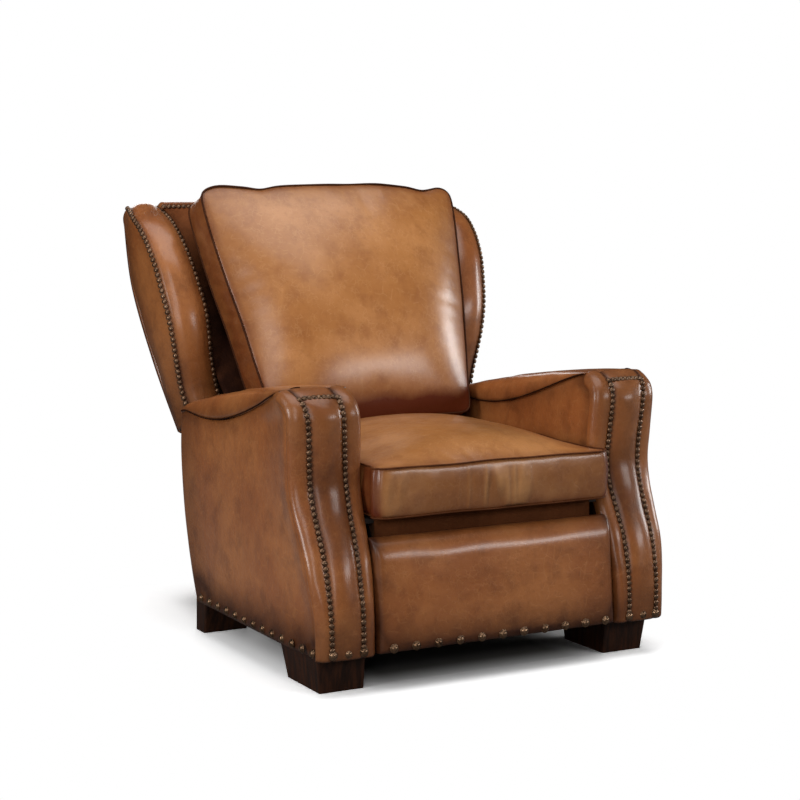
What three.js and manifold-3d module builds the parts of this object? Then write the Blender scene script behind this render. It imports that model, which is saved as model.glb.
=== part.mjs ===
// A push-back wingback recliner in leather: two scrolled arms on block feet, a seat that slides
// forward as the winged back leans, and a padded footrest on a folding linkage.
// Millimetres, +Z up. The sitter faces -Y, and left and right are as seen from the front.
import * as THREE from 'three';
import { mergeVertices } from 'three/addons/utils/BufferGeometryUtils.js';
import Module from 'manifold-3d';

const wasm = await Module();
wasm.setup();

// Running clearance between pieces that touch, between turning layers, and the overrun of cuts.
const gap = 0.3;
const layerGap = 0.6;
const cutOverrun = 2;
const bluntEdge = 0.6;

// Stations along the scrolled front, the top and the rear of an arm.
const frontStations = 24;
const topStations = 18;
const rearStations = 8;

// Feet and the underside of the upholstery.
const footHeight = 76;
const footInset = 2;
const footCorner = 5;
const frontFootWidth = 108;
const frontFootDepth = 180;
const frontFootSetback = 52;
const frontFootSideTaper = 8;
const frontFootFrontTaper = 9;
const frontFootRearTaper = 19;
const rearFootWidth = 108;
const rearFootDepth = 60;
const rearFootBeforeHinge = 15;
const rearFootSideTaper = 2;
const rearFootFrontTaper = 18;
const rearFootRearTaper = -8;

// Arms.
const seatRoom = 576;
const armWidth = 126;
const armHeight = 605;
const armBehindHinge = 88;
const armWaistSetback = 84;
const armToeSetback = 5;
const armTopDrop = 91;
const armFootBehindHinge = 5;
const armRearLean = 77;
const armPanelThick = 14;
const armBoardThick = 20;
const armPadThick = 30;
const armPadCrown = 10;
const armPadCorner = 15;
const armRollBulge = 10;
const armTopEdge = 5;
const armTopSag = 61;
const armTopOverhang = 5;
const armPostDepth = 46;
const armRearReturn = 12;
const armBottomRailHeight = 44;

// Nail bands on the front of each arm.
const nailRowInset = 31;
const nailRowSpacing = 68;
const nailBandWidth = 10;
const nailBandThick = 2.2;
const nailBandBase = 10;

// Cross rails and the rear cover of the base.
const frontRailHeight = 32;
const frontRailDepth = 25;
const frontRailSetback = 90;
const rearRailHeight = 160;
const rearRailBeforeHinge = 40;
const rearCoverThick = 14;
const railLift = 2;

// Seat box, springs, deck and cushion.
const seatFront = 78;
const seatLength = 507;
const seatRailHeight = 62;
const seatRailThick = 25;
const seatDeckThick = 8.4;
const seatDeckHeight = 331.3;
const seatSideRoom = 28;
const springCount = 5;
const springBends = 9;
const springEnd = 10;
const springWire = 2.4;
const springSwing = 24;
const tieWire = 3.2;
const tieDrop = 1.3;
const springDrop = 8;
const cushionSetback = 25;
const cushionLength = 573;
const cushionSideGap = 5;
const cushionBorder = 106;
const cushionCrown = 57;
const cushionCorner = 18;
const cushionPull = 4;
const weltBulge = 3;

// Steel linkage: plate and link sizes.
const plateThick = 3;
const linkThick = 4;
const pinRadius = 6;
const linkHalfWidth = 13;
const mechanismFront = 232;
const mechanismFoot = 165;
const mechanismBar = 50;
const mechanismUprightHalf = 22;
const sidePlateHalf = 38;
const sidePlateFront = 122;
const sidePlateBeforeHinge = 80;

// Seat swing links and the drive link between back and seat.
const swingLength = 85;
const swingPivotHeight = 190;
const frontSwingPivot = 300;
const rearSwingBeforeHinge = 120;
const seatTravel = 60.14;
const slotPlay = 0.7;
const driveLever = 100;
const driveLinkLength = 95;
const driveLinkHalfWidth = 12;
const reclineRange = THREE.MathUtils.degToRad(35);

// Footrest linkage: the thigh link hangs from the seat, the shin link carries the footrest.
const thighPivotY = 125;
const thighPivotZ = 300;
const thighLength = 170;
const shinLength = 170;
const footrestPivotY = 75;
const footrestPivotZ = 215;
const tubeRadius = 9;

// Footrest panel.
const footrestWidth = 562;
const footrestBottom = 79;
const footrestHeight = 228;
const footrestLean = 24;
const footrestPadThick = 36;
const footrestPadCorner = 16;
const footrestBoardThick = 12;
const footrestBoardMargin = 14;
const bracketHalfHeight = 58;
const bracketFlange = 12;

// Reclining back, in its own leaning frame: r runs to the rear and h runs up the back.
const seatHingeRoom = 55;
const cushionHingeRoom = 42;
const hingeZ = 400;
const backLean = THREE.MathUtils.degToRad(24);
const postFront = 66;
const postRear = 168;
const postFoot = -50;
const postHeight = 678;
const postWaist = 106;
const postWaistTop = 20;
const postShoulder = 150;
const postThick = 34;
const topRailThick = 19.7;
const lowerRailHeight = 40;
const shellRear = 178;
const shellThick = 10;
const shellCrown = 12;
const shellFoot = -100;
const shellFootRear = 107;
const shellTop = 648;
const backPanelFoot = 32;
const backPanelEdge = 60;
const backPanelTopGap = 8;
const wingFoot = 115;
const wingTop = 648;
const wingBand = 84;
const wingPadThick = 26;
const wingPadCrown = 12;
const wingBulge = 10;
const wingTopRound = 60;
const wingTopPull = 12;
const wingSpread = 449;
const wingWaist = 375;

// Back cushion, in the same leaning frame.
const pillowFoot = 34;
const pillowHeight = 566;
const pillowTopHalf = 334;
const pillowFootHalf = 256;
const pillowFrontWelt = 101;
const pillowRearWelt = 18;
const pillowFrontCrown = 62;
const pillowRearCrown = 12;
const pillowTopRise = 20;
const pillowCorner = 24;

// The back hinge stands behind the seat box and its cushion, and the rear of the base follows it.
const seatRear = seatFront + seatLength;
const cushionRear = cushionSetback + cushionLength;
const hingeY = Math.max(seatRear + seatHingeRoom, cushionRear + cushionHingeRoom);
const armLength = hingeY + armBehindHinge;
const armRearFoot = hingeY + armFootBehindHinge;
const rearFootSetback = hingeY - rearFootBeforeHinge;
const rearRailFront = hingeY - rearRailBeforeHinge;
const sidePlateRear = hingeY - sidePlateBeforeHinge;
const rearSwingPivot = hingeY - rearSwingBeforeHinge;

// Places worked out from the sizes above.
const armInner = seatRoom / 2;
const armOuter = armInner + armWidth;
const nailMiddle = armInner + nailRowInset + nailRowSpacing / 2;
const padSeam = armWaistSetback + armToeSetback + armPadCorner + armPadThick;
const mechanismX = armInner - gap - plateThick;
const sidePlateX = armInner - seatSideRoom;
const nearLayerX = sidePlateX + plateThick + layerGap;
const farLayerX = nearLayerX + linkThick + layerGap;
const swingLayerX = mechanismX - gap - layerGap - linkThick;
const seatRailTop = seatDeckHeight - gap;
const cushionFoot = seatDeckHeight + seatDeckThick + gap;

// Each set of shares below is [along, up] or [share of height, share of size], chosen by hand.
const armFrontShares = [
  [0, 0], [0, 0.1], [0.06, 0.206], [0.25, 0.333], [0.56, 0.448], [0.845, 0.546], [1, 0.641],
  [0.976, 0.745], [0.917, 0.858], [0.94, 0.919], [1.095, 0.968], [1.37, 0.994], [1.607, 1],
];
const armRearShares = [[0, 0], [0.4, 0.18], [0.82, 0.46], [1, 0.76], [0.9, 0.95]];
const wingFrontShares = [
  [0, 0.5], [0.13, 0.4], [0.225, 0.25], [0.315, 0.1], [0.418, -0.01], [0.53, -0.055],
  [0.644, -0.07], [0.727, -0.03], [0.792, 0.03], [0.869, 0.15], [0.949, 0.35], [1, 0.53],
];
const shellHalfShares = [[0, 0.818], [0.33, 0.891], [0.685, 0.924], [1, 0.885]];

const leather = { color: 0x8a5a33, roughness: 0.48, metalness: 0 };
const darkLeather = { color: 0x4d2f1d, roughness: 0.6, metalness: 0 };
const espresso = { color: 0x24160f, roughness: 0.35, metalness: 0 };
const frameWood = { color: 0xb08a5c, roughness: 0.7, metalness: 0 };
const steel = { color: 0x2c2d2f, roughness: 0.45, metalness: 0.9 };
const springSteel = { color: 0x6d6f72, roughness: 0.4, metalness: 0.9 };
const brass = { color: 0x6e5636, roughness: 0.4, metalness: 0.9 };
const deckCloth = { color: 0x221a16, roughness: 0.9, metalness: 0 };

const chair = new THREE.Group();
const back = new THREE.Group();
back.position.set(0, hingeY, hingeZ);
back.rotation.x = -backLean;
chair.add(back);

function addPiece(name, look, geometry, parent = chair) {
  const mesh = new THREE.Mesh(geometry, new THREE.MeshStandardMaterial(look));
  mesh.name = name;
  parent.add(mesh);
  return mesh;
}

// A piece on the right and its mirror image on the left.
function addPair(name, look, geometry, parent = chair) {
  addPiece(name + '_right', look, geometry, parent);
  addPiece(name + '_left', look, geometry, parent).scale.x = -1;
}

// A closed geometry from points and triangles, turned so that its faces point out.
function closedFrom(points, triangles) {
  const volume = triangles.reduce((sum, [a, b, c]) => {
    const normal = new THREE.Vector3().crossVectors(points[b], points[c]);
    return sum + points[a].dot(normal);
  }, 0);
  const wound = volume < 0 ? triangles.map(([a, b, c]) => [a, c, b]) : triangles;
  const geometry = new THREE.BufferGeometry().setFromPoints(points);
  geometry.setIndex(wound.flat());
  return geometry;
}

// A solid through rings of equal length, closed at both ends by flat faces.
function loft(rings) {
  const count = rings[0].length;
  const points = rings.flat();
  const triangles = [];
  for (let k = 0; k + 1 < rings.length; k += 1) {
    for (let i = 0; i < count; i += 1) {
      const next = (i + 1) % count;
      const low = k * count;
      const high = low + count;
      triangles.push([low + i, low + next, high + next], [low + i, high + next, high + i]);
    }
  }
  const last = (rings.length - 1) * count;
  for (const [x, y, z] of endFaces(rings[0])) {
    triangles.push([z, y, x]);
  }
  for (const [x, y, z] of endFaces(rings[rings.length - 1])) {
    triangles.push([last + x, last + y, last + z]);
  }
  return closedFrom(points, triangles);
}

// Triangles over one ring, laid flat along its own normal, in the ring's winding.
function endFaces(ring) {
  const normal = new THREE.Vector3();
  ring.forEach((point, i) => {
    normal.add(new THREE.Vector3().crossVectors(point, ring[(i + 1) % ring.length]));
  });
  normal.normalize();
  const side = new THREE.Vector3(normal.y, normal.z, normal.x).cross(normal).normalize();
  const rise = new THREE.Vector3().crossVectors(normal, side);
  const flat = ring.map((point) => new THREE.Vector2(point.dot(side), point.dot(rise)));
  return THREE.ShapeUtils.triangulateShape(flat, []);
}

// A solid between two surfaces of (u, v), each from 0 to 1, with walls round the rim.
function slab(outer, inner, across, along) {
  const points = [];
  for (const surface of [outer, inner]) {
    for (let j = 0; j <= along; j += 1) {
      for (let i = 0; i <= across; i += 1) {
        points.push(surface(i / across, j / along));
      }
    }
  }
  const row = across + 1;
  const under = row * (along + 1);
  const triangles = [];
  for (let j = 0; j < along; j += 1) {
    for (let i = 0; i < across; i += 1) {
      const a = j * row + i;
      const b = a + row;
      triangles.push([a, a + 1, b + 1], [a, b + 1, b]);
      triangles.push([under + a, under + b + 1, under + a + 1], [under + a, under + b, under + b + 1]);
    }
  }
  const rim = [];
  for (let i = 0; i < across; i += 1) rim.push(i);
  for (let j = 0; j < along; j += 1) rim.push(j * row + across);
  for (let i = across; i > 0; i -= 1) rim.push(along * row + i);
  for (let j = along; j > 0; j -= 1) rim.push(j * row);
  rim.forEach((here, k) => {
    const next = rim[(k + 1) % rim.length];
    triangles.push([here, under + here, under + next], [here, under + next, next]);
  });
  return closedFrom(points, triangles);
}

// A side profile of [y, z] points pushed along X from one place to another.
function sidePlate(outline, fromX, toX, holes = []) {
  const shape = new THREE.Shape(outline.map(([y, z]) => new THREE.Vector2(y, z)));
  shape.holes.push(...holes);
  const geometry = new THREE.ExtrudeGeometry(shape, {
    depth: toX - fromX,
    bevelEnabled: false,
    curveSegments: 8,
  });
  const axes = new THREE.Matrix4().makeBasis(
    new THREE.Vector3(0, 1, 0),
    new THREE.Vector3(0, 0, 1),
    new THREE.Vector3(1, 0, 0),
  );
  geometry.applyMatrix4(axes);
  geometry.translate(fromX, 0, 0);
  return geometry;
}

function block(fromX, toX, fromY, toY, fromZ, toZ) {
  const geometry = new THREE.BoxGeometry(toX - fromX, toY - fromY, toZ - fromZ);
  geometry.translate((fromX + toX) / 2, (fromY + toY) / 2, (fromZ + toZ) / 2);
  return geometry;
}

// A pin along X between two places, and the round hole that it turns in.
function pin(y, z, radius, fromX, toX) {
  const geometry = new THREE.CylinderGeometry(radius, radius, toX - fromX, 16);
  geometry.rotateZ(Math.PI / 2);
  geometry.translate((fromX + toX) / 2, y, z);
  return geometry;
}

function hole(y, z, radius = pinRadius + gap) {
  return new THREE.Path().absarc(y, z, radius, 0, 2 * Math.PI, true);
}

// An upright slot in which a pin rides, from its low to its high place.
function slot(y, lowZ, highZ) {
  const radius = pinRadius + slotPlay;
  const path = new THREE.Path();
  path.absarc(y, highZ, radius, Math.PI, 0, true);
  path.absarc(y, lowZ, radius, 0, -Math.PI, true);
  path.closePath();
  return path;
}

// The outline stretched round several [y, z, radius] circles.
function hullOutline(circles) {
  const steps = 16;
  const points = circles.flatMap(([y, z, radius]) =>
    Array.from({ length: steps }, (_, k) => {
      const angle = (2 * Math.PI * k) / steps;
      return [y + radius * Math.cos(angle), z + radius * Math.sin(angle)];
    }),
  );
  points.sort((a, b) => a[0] - b[0] || a[1] - b[1]);
  const turn = (o, a, b) => (a[0] - o[0]) * (b[1] - o[1]) - (a[1] - o[1]) * (b[0] - o[0]);
  const half = (list) => {
    const kept = [];
    for (const point of list) {
      while (kept.length > 1 && turn(kept[kept.length - 2], kept[kept.length - 1], point) <= 0) {
        kept.pop();
      }
      kept.push(point);
    }
    kept.pop();
    return kept;
  };
  return [...half(points), ...half([...points].reverse())];
}

function solidOf(geometry) {
  const bare = geometry.clone();
  bare.deleteAttribute('normal');
  bare.deleteAttribute('uv');
  const merged = mergeVertices(bare);
  return new wasm.Manifold(
    new wasm.Mesh({
      numProp: 3,
      vertProperties: merged.attributes.position.array,
      triVerts: new Uint32Array(merged.index.array),
    }),
  );
}

function geometryOf(solid) {
  const mesh = solid.getMesh();
  const geometry = new THREE.BufferGeometry();
  geometry.setAttribute('position', new THREE.BufferAttribute(mesh.vertProperties, mesh.numProp));
  geometry.setIndex(new THREE.BufferAttribute(mesh.triVerts, 1));
  return geometry;
}

function joined(...geometries) {
  return geometryOf(geometries.map(solidOf).reduce((whole, piece) => whole.add(piece)));
}

function cut(geometry, ...tools) {
  return geometryOf(tools.map(solidOf).reduce((left, tool) => left.subtract(tool), solidOf(geometry)));
}

function curveThrough(shares, place) {
  return new THREE.SplineCurve(shares.map(([a, b]) => new THREE.Vector2(...place(a, b))));
}

function smooth(value, low, high) {
  return THREE.MathUtils.smoothstep(value, low, high);
}

// Front line of the arm in side view, from its toe up round its nose, and lines set in from it.
const armRise = armHeight - footHeight;
const armFront = curveThrough(armFrontShares, (a, b) => [
  armToeSetback + armWaistSetback * a,
  footHeight + armRise * b,
]);
const noseEnd = armFront.getPoint(1).x;

// The line ends level, so that the pad on the arm's top can stand square to it.
function armFrontAt(share, out) {
  const point = armFront.getPointAt(share);
  const along = share < 1 ? armFront.getTangentAt(share) : new THREE.Vector2(1, 0);
  return [point.x - along.y * out, point.y + along.x * out];
}

function armFrontLine(out) {
  return Array.from({ length: frontStations + 1 }, (_, k) => armFrontAt(k / frontStations, out));
}

// Rear line of the arm, the line of its top, and the underside of the pad on it.
const armRear = curveThrough(armRearShares, (a, b) => [
  armRearFoot + armRearLean * a,
  footHeight + (armHeight - armTopDrop - footHeight) * b,
]);

function armTopAt(y) {
  const share = Math.max((y - noseEnd) / (armLength - noseEnd), 0);
  return armHeight - armTopDrop * share ** 1.4;
}

function armSagAt(y) {
  const share = THREE.MathUtils.clamp((y - noseEnd) / (armLength - noseEnd), 0, 1);
  return armTopSag * Math.sin(Math.PI * share ** 1.15);
}

function armPadFootAt(y) {
  return armTopAt(y) - armSagAt(y) - armTopEdge;
}

const armTopPlaces = Array.from({ length: topStations + 1 }, (_, k) =>
  THREE.MathUtils.lerp(noseEnd + gap, armLength, k / topStations),
);

// What stands under the top pad follows its underside from station to station.
function underArmPad(y) {
  const k = Math.max(armTopPlaces.findIndex((place) => place >= y), 1);
  const [low, high] = [armTopPlaces[k - 1], armTopPlaces[k]];
  return THREE.MathUtils.mapLinear(y, low, high, armPadFootAt(low), armPadFootAt(high)) - gap;
}

// The arm's side outline behind the front pad, used by its board, its panel and its post.
function armSideOutline() {
  const front = armFrontLine(-armPadThick - gap);
  const rear = armRearLine();
  const [lastY] = rear[rear.length - 1];
  const step = [armTopPlaces[0], front[front.length - 1][1]];
  const top = armTopPlaces.filter((y) => y < lastY - bluntEdge).map((y) => [y, underArmPad(y)]);
  return [...front, step, ...top, [lastY, underArmPad(lastY)], ...rear.reverse()];
}

// The rear line of the arm as far as the underside of its top pad.
function armRearLine() {
  const line = armRear.getPoints(rearStations).map((point) => [point.x, point.y]);
  return line.filter(([y, z]) => z < underArmPad(y) - bluntEdge);
}

function makeArms() {
  const side = armSideOutline();
  const boardOuter = armInner + armBoardThick;
  const panelInner = armOuter - armPanelThick;
  addPair('arm_inside_board', leather, sidePlate(side, armInner, boardOuter));

  // The outside panel turns in round the rear of the arm.
  const rearLine = armRearLine();
  const returned = [
    ...rearLine,
    ...armRearLine().reverse().map(([y, z]) => [y - armRearReturn, z]),
  ];
  const outside = sidePlate(side, panelInner, armOuter);
  const turnIn = sidePlate(returned, boardOuter + gap, panelInner + bluntEdge);
  addPair('arm_outside_panel', leather, joined(outside, turnIn));

  // The front post follows the scroll and its straight rear edge carries the rails.
  const postRearY = padSeam + armPostDepth;
  const scroll = armFrontLine(-armPadThick - gap);
  const postTop = armHeight - armPadThick - gap;
  const post = [...scroll, [postRearY, postTop], [postRearY, footHeight]];
  const postInner = boardOuter + gap;
  const postOuter = panelInner - gap;
  addPair('arm_front_post', frameWood, sidePlate(post, postInner, postOuter));

  const railRear = armRearFoot - armRearReturn - gap;
  addPair('arm_bottom_rail', frameWood, block(
    postInner, postOuter,
    postRearY + gap, railRear,
    footHeight, footHeight + armBottomRailHeight,
  ));

  makeArmFrontPad();
  makeArmTopPad();
  makeNailBands();
}

// The scrolled front: a crowned pad with round corners that follows the front line.
function makeArmFrontPad() {
  const cornerSteps = 3;
  const middle = nailMiddle;
  const crownHalf = (nailRowSpacing - nailBandWidth) / 2 - bluntEdge;
  const bandHalf = (nailRowSpacing + nailBandWidth) / 2 + bluntEdge;
  const rings = Array.from({ length: frontStations + 1 }, (_, k) => {
    const share = k / frontStations;
    const crown = armPadCrown * smooth(share, 0.05, 0.22) * (1 - smooth(share, 0.84, 0.95));
    const section = [[armInner, -armPadThick]];
    for (let c = 0; c <= cornerSteps; c += 1) {
      const turn = (Math.PI / 2) * (c / cornerSteps);
      section.push([
        THREE.MathUtils.lerp(armInner, middle - bandHalf, 1 - Math.cos(turn)),
        -armPadCorner * (1 - Math.sin(turn)),
      ]);
    }
    for (const across of [-1, -0.5, 0, 0.5, 1]) {
      section.push([middle + crownHalf * across, crown * (1 - across ** 2)]);
    }
    const roll = armOuter + armRollBulge;
    for (let c = cornerSteps; c >= 0; c -= 1) {
      const turn = (Math.PI / 2) * (c / cornerSteps);
      section.push([
        THREE.MathUtils.lerp(roll, middle + bandHalf, 1 - Math.cos(turn)),
        -armPadCorner * (1 - Math.sin(turn)),
      ]);
    }
    section.push([armOuter, -armPadThick]);
    return section.map(([x, out]) => new THREE.Vector3(x, ...armFrontAt(share, out)));
  });
  addPair('arm_front_pad', leather, loft(rings));
}

// The pad along the arm's top: thin at both ends, deep where its side seams dip.
function makeArmTopPad() {
  const sectionSteps = 12;
  const rings = armTopPlaces.map((y, k) => {
    const share = k / topStations;
    const foot = armPadFootAt(y);
    const endRound = 1 - 0.45 * smooth(share, 0.94, 1);
    const deep = (armTopAt(y) - foot) * endRound;
    const overhang = armTopOverhang * Math.sin(Math.PI * share);
    const roll = armRollBulge * (1 - smooth(share, 0, 0.35));
    const inner = armInner - overhang;
    const outer = armOuter + Math.max(overhang, roll);
    return Array.from({ length: sectionSteps + 1 }, (_, i) => {
      const turn = Math.PI * (i / sectionSteps);
      const across = Math.sign(Math.cos(turn)) * Math.abs(Math.cos(turn)) ** 0.55;
      const x = THREE.MathUtils.lerp(inner, outer, (1 - across) / 2);
      return new THREE.Vector3(x, y, foot + deep * Math.sin(turn) ** 0.6);
    });
  });
  addPair('arm_top_pad', leather, loft(rings));
}

// Two bands of nails up the front of the arm, joined by one band at each end.
function makeNailBands() {
  const high = gap + nailBandThick;
  const outer = armFrontLine(high);
  const inner = armFrontLine(gap).reverse();
  const middle = nailMiddle;
  const bands = [-1, 1].map((side) => {
    const x = middle + (side * nailRowSpacing) / 2;
    return sidePlate([...outer, ...inner], x - nailBandWidth / 2, x + nailBandWidth / 2);
  });
  const barHalf = (nailRowSpacing + nailBandWidth) / 2 - bluntEdge;
  const [toeY] = armFrontAt(0, high);
  const toeBar = block(
    middle - barHalf, middle + barHalf,
    toeY, toeY + nailBandThick,
    footHeight, footHeight + nailBandBase,
  );
  const [, noseZ] = armFrontAt(1, high);
  const noseBar = block(
    middle - barHalf, middle + barHalf,
    noseEnd - nailBandWidth, noseEnd,
    noseZ - nailBandThick, noseZ,
  );
  addPair('arm_front_trim', brass, joined(...bands, toeBar, noseBar));
}

// A foot with small round corners that narrows to the floor on its outer, front and rear sides.
function footGeometry(width, depth, frontY, outerTaper, frontTaper, rearTaper) {
  const ring = (share, z) => {
    const fromX = armInner + footInset;
    const toX = fromX + width - outerTaper * share;
    const fromY = frontY + frontTaper * share;
    const toY = frontY + depth - rearTaper * share;
    const outline = roundedOutline((toX - fromX) / 2, (toY - fromY) / 2, footCorner, 3);
    return outline.map(([x, y]) =>
      new THREE.Vector3(x + (fromX + toX) / 2, y + (fromY + toY) / 2, z),
    );
  };
  return loft([ring(1, 0), ring(0, footHeight - gap)]);
}

function roundedOutline(halfWidth, halfDepth, corner, steps) {
  const points = [];
  const corners = [[1, -1, -0.5], [1, 1, 0], [-1, 1, 0.5], [-1, -1, 1]];
  for (const [signX, signY, start] of corners) {
    for (let k = 0; k <= steps; k += 1) {
      const angle = Math.PI * (start + k / (2 * steps));
      points.push([
        signX * (halfWidth - corner) + corner * Math.cos(angle),
        signY * (halfDepth - corner) + corner * Math.sin(angle),
      ]);
    }
  }
  return points;
}

function makeBase() {
  addPair('foot_front', espresso, footGeometry(
    frontFootWidth, frontFootDepth, frontFootSetback,
    frontFootSideTaper, frontFootFrontTaper, frontFootRearTaper,
  ));
  addPair('foot_rear', espresso, footGeometry(
    rearFootWidth, rearFootDepth, rearFootSetback,
    rearFootSideTaper, rearFootFrontTaper, rearFootRearTaper,
  ));

  const railFoot = footHeight + railLift;
  const railHalf = armInner - gap;
  addPiece('front_cross_rail', frameWood, block(
    -railHalf, railHalf,
    frontRailSetback, frontRailSetback + frontRailDepth,
    railFoot, railFoot + frontRailHeight,
  ));

  // The rear rail and its leather cover follow the rear line of the arms.
  const rearLine = armRear.getPoints(12).map((point) => [point.x, point.y]);
  const coverTop = railFoot + rearRailHeight;
  const cover = rearLine.filter(([, z]) => z < coverTop);
  const coverBack = [...cover, [yOnRear(coverTop), coverTop]];
  const coverFront = [...coverBack].reverse().map(([y, z]) => [y - rearCoverThick, z]);
  addPiece('base_rear_cover', leather, sidePlate([...coverBack, ...coverFront], -railHalf, railHalf));
  const railFront = coverFront.map(([y, z]) => [y - gap, z]).reverse();
  addPiece('rear_cross_rail', frameWood, sidePlate(
    [...railFront, [rearRailFront, coverTop], [rearRailFront, railFront[0][1]]],
    -mechanismX + gap, mechanismX - gap,
  ));
}

function yOnRear(z) {
  const line = armRear.getPoints(40);
  const above = line.findIndex((point) => point.y >= z);
  const low = line[above - 1];
  const high = line[above];
  return THREE.MathUtils.mapLinear(z, low.y, high.y, low.x, high.x);
}

// The fixed steel plate of the mechanism: a bar along the arm and an upright to the back hinge.
const swingAngle = Math.asin(seatTravel / 2 / swingLength);
const swingPinY = swingLength * Math.sin(swingAngle);
const swingPinZ = swingPivotHeight + swingLength * Math.cos(swingAngle);
const leverAngle = reclineRange / 2;
const leverY = driveLever * Math.sin(leverAngle);
const leverZ = -driveLever * Math.cos(leverAngle);

function makeMechanism() {
  const barTop = mechanismFoot + mechanismBar;
  const uprightFront = hingeY - mechanismUprightHalf;
  const uprightRear = hingeY + mechanismUprightHalf;
  const outline = [
    [mechanismFront, mechanismFoot],
    [uprightRear, mechanismFoot],
    [uprightRear, hingeZ + mechanismUprightHalf / 2],
    [uprightRear - mechanismUprightHalf / 2, hingeZ + mechanismUprightHalf],
    [uprightFront + mechanismUprightHalf / 2, hingeZ + mechanismUprightHalf],
    [uprightFront, hingeZ + mechanismUprightHalf / 2],
    [uprightFront, barTop],
    [mechanismFront, barTop],
  ];
  const plate = sidePlate(outline, mechanismX, mechanismX + plateThick);
  const root = mechanismX + bluntEdge;
  const swingStuds = [frontSwingPivot, rearSwingPivot].map((y) =>
    pin(y, swingPivotHeight, pinRadius, swingLayerX - layerGap, root),
  );
  const hingeStud = pin(hingeY, hingeZ, pinRadius, farLayerX - layerGap, root);
  addPair('mechanism_plate', steel, joined(plate, ...swingStuds, hingeStud));

  // The swing links rise from the fixed plate, and their upper pins ride in the seat's slots.
  for (const [name, pivot] of [['seat_front_link', frontSwingPivot], ['seat_rear_link', rearSwingPivot]]) {
    const top = [pivot + swingPinY, swingPinZ];
    const bar = sidePlate(
      hullOutline([[pivot, swingPivotHeight, linkHalfWidth], [...top, linkHalfWidth]]),
      swingLayerX, swingLayerX + linkThick,
      [hole(pivot, swingPivotHeight)],
    );
    const stud = pin(...top, pinRadius, sidePlateX, swingLayerX + bluntEdge);
    addPair(name, steel, joined(bar, stud));
  }

  // The drive link joins the lever of the back to a stud on the seat.
  const leverPoint = [hingeY + leverY, hingeZ + leverZ];
  const seatPoint = [leverPoint[0] - driveLinkLength, leverPoint[1]];
  const lost = driveLever * (1 - Math.cos(leverAngle));
  const linkOutline = hullOutline([
    [...leverPoint, driveLinkHalfWidth],
    [...seatPoint, driveLinkHalfWidth + lost / 2],
  ]);
  addPair('seat_drive_link', steel, sidePlate(
    linkOutline, nearLayerX, nearLayerX + linkThick,
    [hole(...leverPoint), slot(seatPoint[0], seatPoint[1], seatPoint[1] + lost)],
  ));
  return seatPoint;
}

function makeSeat(drivePoint) {
  const railFoot = seatRailTop - seatRailHeight;
  const sideOuter = sidePlateX - gap;
  const sideInner = sideOuter - seatRailThick;
  addPair('seat_side_rail', frameWood, block(
    sideInner, sideOuter, seatFront, seatRear, railFoot, seatRailTop,
  ));
  const crossHalf = sideInner - gap;
  addPiece('seat_front_rail', darkLeather, block(
    -crossHalf, crossHalf, seatFront, seatFront + seatRailThick, railFoot, seatRailTop,
  ));
  addPiece('seat_rear_rail', frameWood, block(
    -crossHalf, crossHalf, seatRear - seatRailThick, seatRear, railFoot, seatRailTop,
  ));

  // Steel side plate: the thigh pivot, a slot for each swing link and the stud of the drive link.
  const plate = sidePlate(
    hullOutline([
      [sidePlateFront, seatRailTop - sidePlateHalf, sidePlateHalf],
      [sidePlateRear, seatRailTop - sidePlateHalf, sidePlateHalf],
    ]),
    sidePlateX, sidePlateX + plateThick,
    [frontSwingPivot, rearSwingPivot].map((y) =>
      slot(y + swingPinY, swingPinZ, swingPivotHeight + swingLength),
    ),
  );
  const root = sidePlateX + plateThick - bluntEdge;
  const studs = [[thighPivotY, thighPivotZ], drivePoint].map(([y, z]) =>
    pin(y, z, pinRadius, root, nearLayerX + linkThick + layerGap / 2),
  );
  addPair('seat_side_plate', steel, joined(plate, ...studs));

  makeSprings(crossHalf);
  addPiece('seat_deck', deckCloth, block(
    -armInner + cushionSideGap, armInner - cushionSideGap,
    seatFront - layerGap, seatRear, seatDeckHeight, seatDeckHeight + seatDeckThick,
  ));
  makeSeatCushion();
}

// Zigzag springs from the front rail to the rear rail, tied together by two cross wires.
function makeSprings(crossHalf) {
  const front = seatFront + seatRailThick + gap;
  const rear = seatRear - seatRailThick - gap;
  const z = seatRailTop - springDrop;
  const wires = [];
  for (let s = 0; s < springCount; s += 1) {
    const middle = crossHalf * ((2 * s + 1) / springCount - 1);
    const points = [
      new THREE.Vector3(middle, front, z),
      new THREE.Vector3(middle, front + springEnd, z),
    ];
    for (let k = 1; k <= springBends; k += 1) {
      const y = THREE.MathUtils.mapLinear(
        k, 0, springBends + 1, front + springEnd, rear - springEnd,
      );
      points.push(new THREE.Vector3(middle + springSwing * (k % 2 ? 1 : -1), y, z));
    }
    points.push(
      new THREE.Vector3(middle, rear - springEnd, z),
      new THREE.Vector3(middle, rear, z),
    );
    wires.push(wire(new THREE.CatmullRomCurve3(points), 2 * points.length, springWire));
  }
  for (const share of [0.33, 0.67]) {
    const y = THREE.MathUtils.lerp(front, rear, share);
    const reach = crossHalf - springSwing / 2;
    const tieZ = z - tieDrop;
    const ends = [new THREE.Vector3(-reach, y, tieZ), new THREE.Vector3(reach, y, tieZ)];
    wires.push(wire(new THREE.LineCurve3(...ends), 1, tieWire));
  }
  addPiece('seat_springs', springSteel, joined(...wires));
}

function wire(path, steps, radius) {
  const section = new THREE.Shape(
    Array.from({ length: 5 }, (_, k) => {
      const angle = (2 * Math.PI * k) / 5;
      return new THREE.Vector2(radius * Math.cos(angle), radius * Math.sin(angle));
    }),
  );
  return new THREE.ExtrudeGeometry(section, { steps, extrudePath: path, bevelEnabled: false });
}

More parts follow.
